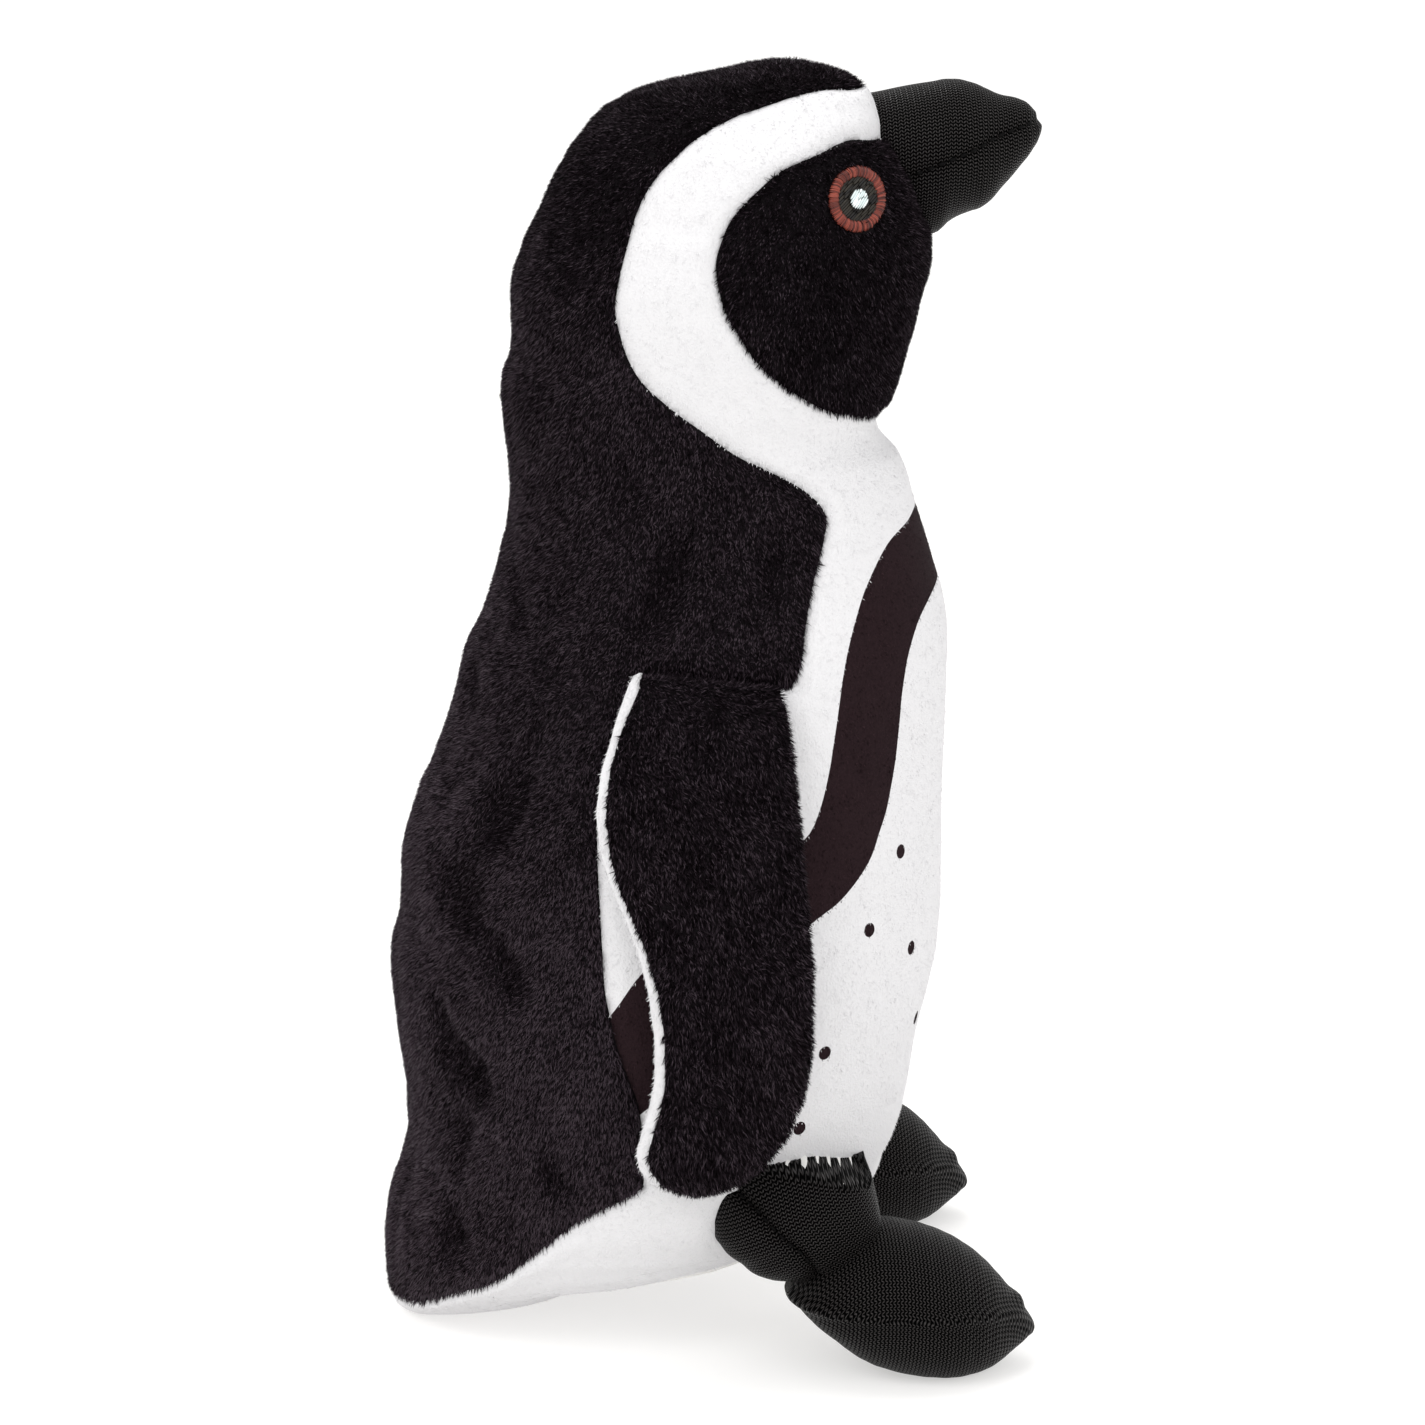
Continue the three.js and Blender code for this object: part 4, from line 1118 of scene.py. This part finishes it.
foot_middle, foot_half, foot_wide = (through([(row[0], row[k]) for row in foot_rows]) for k in (1, 2, 3))


def foot_rings(count, facets):
    half_way = 50 * ease_ends(count // 2, 1.6)
    along = np.concatenate([50 - half_way[::-1], 50 + half_way[1:]])
    u, v = superellipse(facets, 2.1)
    x = FOOT_X + (foot_wide(along) * FOOT_WIDTH / 100)[:, None] * u
    y = np.repeat((HEEL - along * FOOT_LENGTH / 100)[:, None], facets, 1)
    middle = foot_middle(along) * FOOT_HEIGHT / 100 - SOLE_DEPTH
    z = middle[:, None] + (foot_half(along) * FOOT_HEIGHT / 100)[:, None] * v
    return np.stack([x, y, z], -1)


foot_seam = spline([
    (-8, 16.4), (-13, 15.9), (-25, 15.4), (-37, 14.9), (-46, 14.2), (-51, 12.8), (-54.5, 10.6),
    (-57.3, 7.6), (-60, 6.0), (-66, 5.0)])
top_region = outline(foot_seam[::-1], (-8, FAR), (-66, FAR))


def press_flat(points):
    """The sole lies flat on the floor."""
    points = points.copy()
    near = 1.4  # the curve into the flat starts this far up
    sunk = np.minimum(points[:, 2], near)
    points[:, 2] = np.where(points[:, 2] < near, near * np.exp((sunk - near) / near), points[:, 2])
    points[:, 2] = np.maximum(points[:, 2], 0.05)
    return points


def toe_tuck(points):
    """The pinch where the seams meet at the toe."""
    toe = np.array([FOOT_X, -55.2, 12.6])
    reach = (points - toe) / [5.0, 3.0, 1.5]
    return 1.0 * np.exp(-(reach**2).sum(1))


def mirrored_rings(rings, sign):
    return rings if sign < 0 else (rings * [-1, 1, 1])[:, ::-1]


for side, sign in SIDES:
    bend = ankle_of(side, sign)
    leg_skin = knit_halves(
        mirrored_rings(leg_rings(60, 84), sign), (sign, 0, 0), False, rear_region, leg_seam, 1.2,
        (f"leg_rear_{side}_skin", f"leg_front_{side}_skin"), None,
        (f"leg_rear_{side}", f"leg_front_{side}"), fold=into_body, blend=bend)
    foot_skin = knit_halves(
        mirrored_rings(foot_rings(90, 96), sign)[::-1], (0, 0, 1), False, top_region, foot_seam, 1.0,
        (f"foot_top_{side}_skin", f"foot_sole_{side}_skin"), None,
        (f"foot_top_{side}", f"foot_sole_{side}"), fold=press_flat, blend=bend,
        tuck=toe_tuck if sign < 0 else (lambda p: toe_tuck(p * [-1, 1, 1])))
    middle = sign * abs(FOOT_X)
    for part, skin, line, low, high in (("leg", leg_skin, leg_seam, -14, 0),
                                        ("foot", foot_skin, foot_seam, -56, -15)):
        shown = line[(line[:, 0] > low) & (line[:, 0] < high)]
        stitches(f"{part}_stitches_{side}", beside(skin, shown, middle, sign), None, blend=bend)

# ---------------------------------------------------------------- stuffing
def fill_piece(name, rings, body, nodes, blend=None):
    points, faces = loft(rings)
    normals = normals_of(points, faces)
    points = points + normals * (0.25 * ripple(points, 7, 90))[:, None]
    piece = make(name, points, faces, [fill_fibre])
    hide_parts(*nodes)
    attach(piece, body, blend)


def shrunk(rings, inset):
    """Rings pulled towards their own middles by about the inset."""
    middle = rings.mean(1, keepdims=True)
    reach = np.linalg.norm(rings - middle, axis=2, keepdims=True)
    return middle + (rings - middle) * np.maximum(1 - inset / np.maximum(reach, 1e-6), 0.15)


BODY_FILL_INSET = 6.5  # under the deepest dent
LIMB_FILL_INSET = 2.2
FILL_FLOOR = 14  # the filling starts above the round of the bottom
inner_rings = shrunk(body_rings(5, 48), BODY_FILL_INSET)
NECK = 0.705 * HEIGHT
ring_height = inner_rings[:, 0, 2]
fill_piece("head_fill", inner_rings[(ring_height > NECK + 1) & (ring_height < HEIGHT - 10)], "torso",
           ["head_stuffing"])
fill_piece("body_fill", inner_rings[(ring_height < NECK - 1) & (ring_height > FILL_FLOOR)], "torso",
           ["body_stuffing"])
fill_piece("beak_fill", shrunk(beak_grid[8:-6:3], 2.0)[::-1][:, ::-1], "torso", ["beak_stuffing"])
for side, sign in SIDES:
    bend = ankle_of(side, sign)
    fill = flipper_rings(30, 32, 1.7)[2:-3]
    fill = fill if sign < 0 else (fill * [-1, 1, 1])[:, ::-1]
    fill_piece(f"flipper_fill_{side}", fill[::-1], None, [f"flipper_stuffing_{side}"],
               shoulder_of(side, sign))
    leg = shrunk(mirrored_rings(leg_rings(20, 32), sign), LIMB_FILL_INSET)[6:-2]
    leg = into_body(leg.reshape(-1, 3), under=LIMB_FILL_INSET).reshape(leg.shape)
    fill_piece(f"leg_fill_{side}", leg, None, [f"leg_stuffing_{side}"], bend)
    foot = shrunk(mirrored_rings(foot_rings(40, 40), sign), LIMB_FILL_INSET)[4:-4]
    foot[..., 2] = np.maximum(foot[..., 2], 1.6)
    fill_piece(f"foot_fill_{side}", foot[::-1], None, [f"foot_stuffing_{side}"], bend)

# ---------------------------------------------------------------- floor, light and camera
scene = bpy.context.scene


def add_floor():
    reach = 9000
    corners = np.array([[-1, -1, 0], [1, -1, 0], [1, 1, 0], [-1, 1, 0]], float) * reach
    # a lit white sweep: some of its brightness is its own, so that shadows on it stay pale
    sweep = shader("floor", (0.56, 0.556, 0.55), 0.9, Specular_IOR_Level=0.0,
                   Emission_Color=(1.0, 0.992, 0.98, 1), Emission_Strength=0.51)
    make("floor", corners, np.array([[0, 1, 2], [0, 2, 3]]), [sweep])


def add_light(name, place, aim, size, power):
    lamp = bpy.data.lights.new(name, "AREA")
    lamp.shape = "DISK"
    lamp.size = size
    lamp.energy = power
    light = bpy.data.objects.new(name, lamp)
    light.location = place
    heading = np.array(aim) - np.array(place)
    light.rotation_euler = look(heading)
    scene.collection.objects.link(light)


def look(heading):
    x, y, z = heading
    return (math.pi / 2 + math.atan2(z, math.hypot(x, y)), 0, math.atan2(y, x) - math.pi / 2)


def add_camera():
    distance_out, height, turn, aim = 0.950, 0.340, math.radians(5.5), 0.121
    camera = bpy.data.objects.new("camera", bpy.data.cameras.new("camera"))
    camera.data.sensor_width = 36
    camera.data.lens = 124.5
    camera.data.clip_end = 40
    place = (-distance_out * math.cos(turn), distance_out * math.sin(turn), height)
    camera.location = place
    camera.rotation_euler = look((-place[0], -place[1], aim - height))
    scene.collection.objects.link(camera)
    scene.camera = camera


add_floor()
add_light("key", (-0.95, 1.15, 1.4), (0, 0, 0.12), 0.9, 9.8)
add_light("fill", (-1.3, -1.0, 1.0), (0, 0, 0.12), 1.2, 7)
add_light("top", (0.2, 0.1, 2.0), (0, 0, 0), 1.2, 12)
add_light("rear", (1.4, 0.6, 1.2), (0, 0, 0.12), 1.0, 9)
world = bpy.data.worlds.new("studio")
world.use_nodes = True
world.node_tree.nodes["Background"].inputs[0].default_value = (1, 1, 1, 1)
world.node_tree.nodes["Background"].inputs[1].default_value = 0.95
scene.world = world
scene.view_settings.view_transform = "Standard"
add_camera()
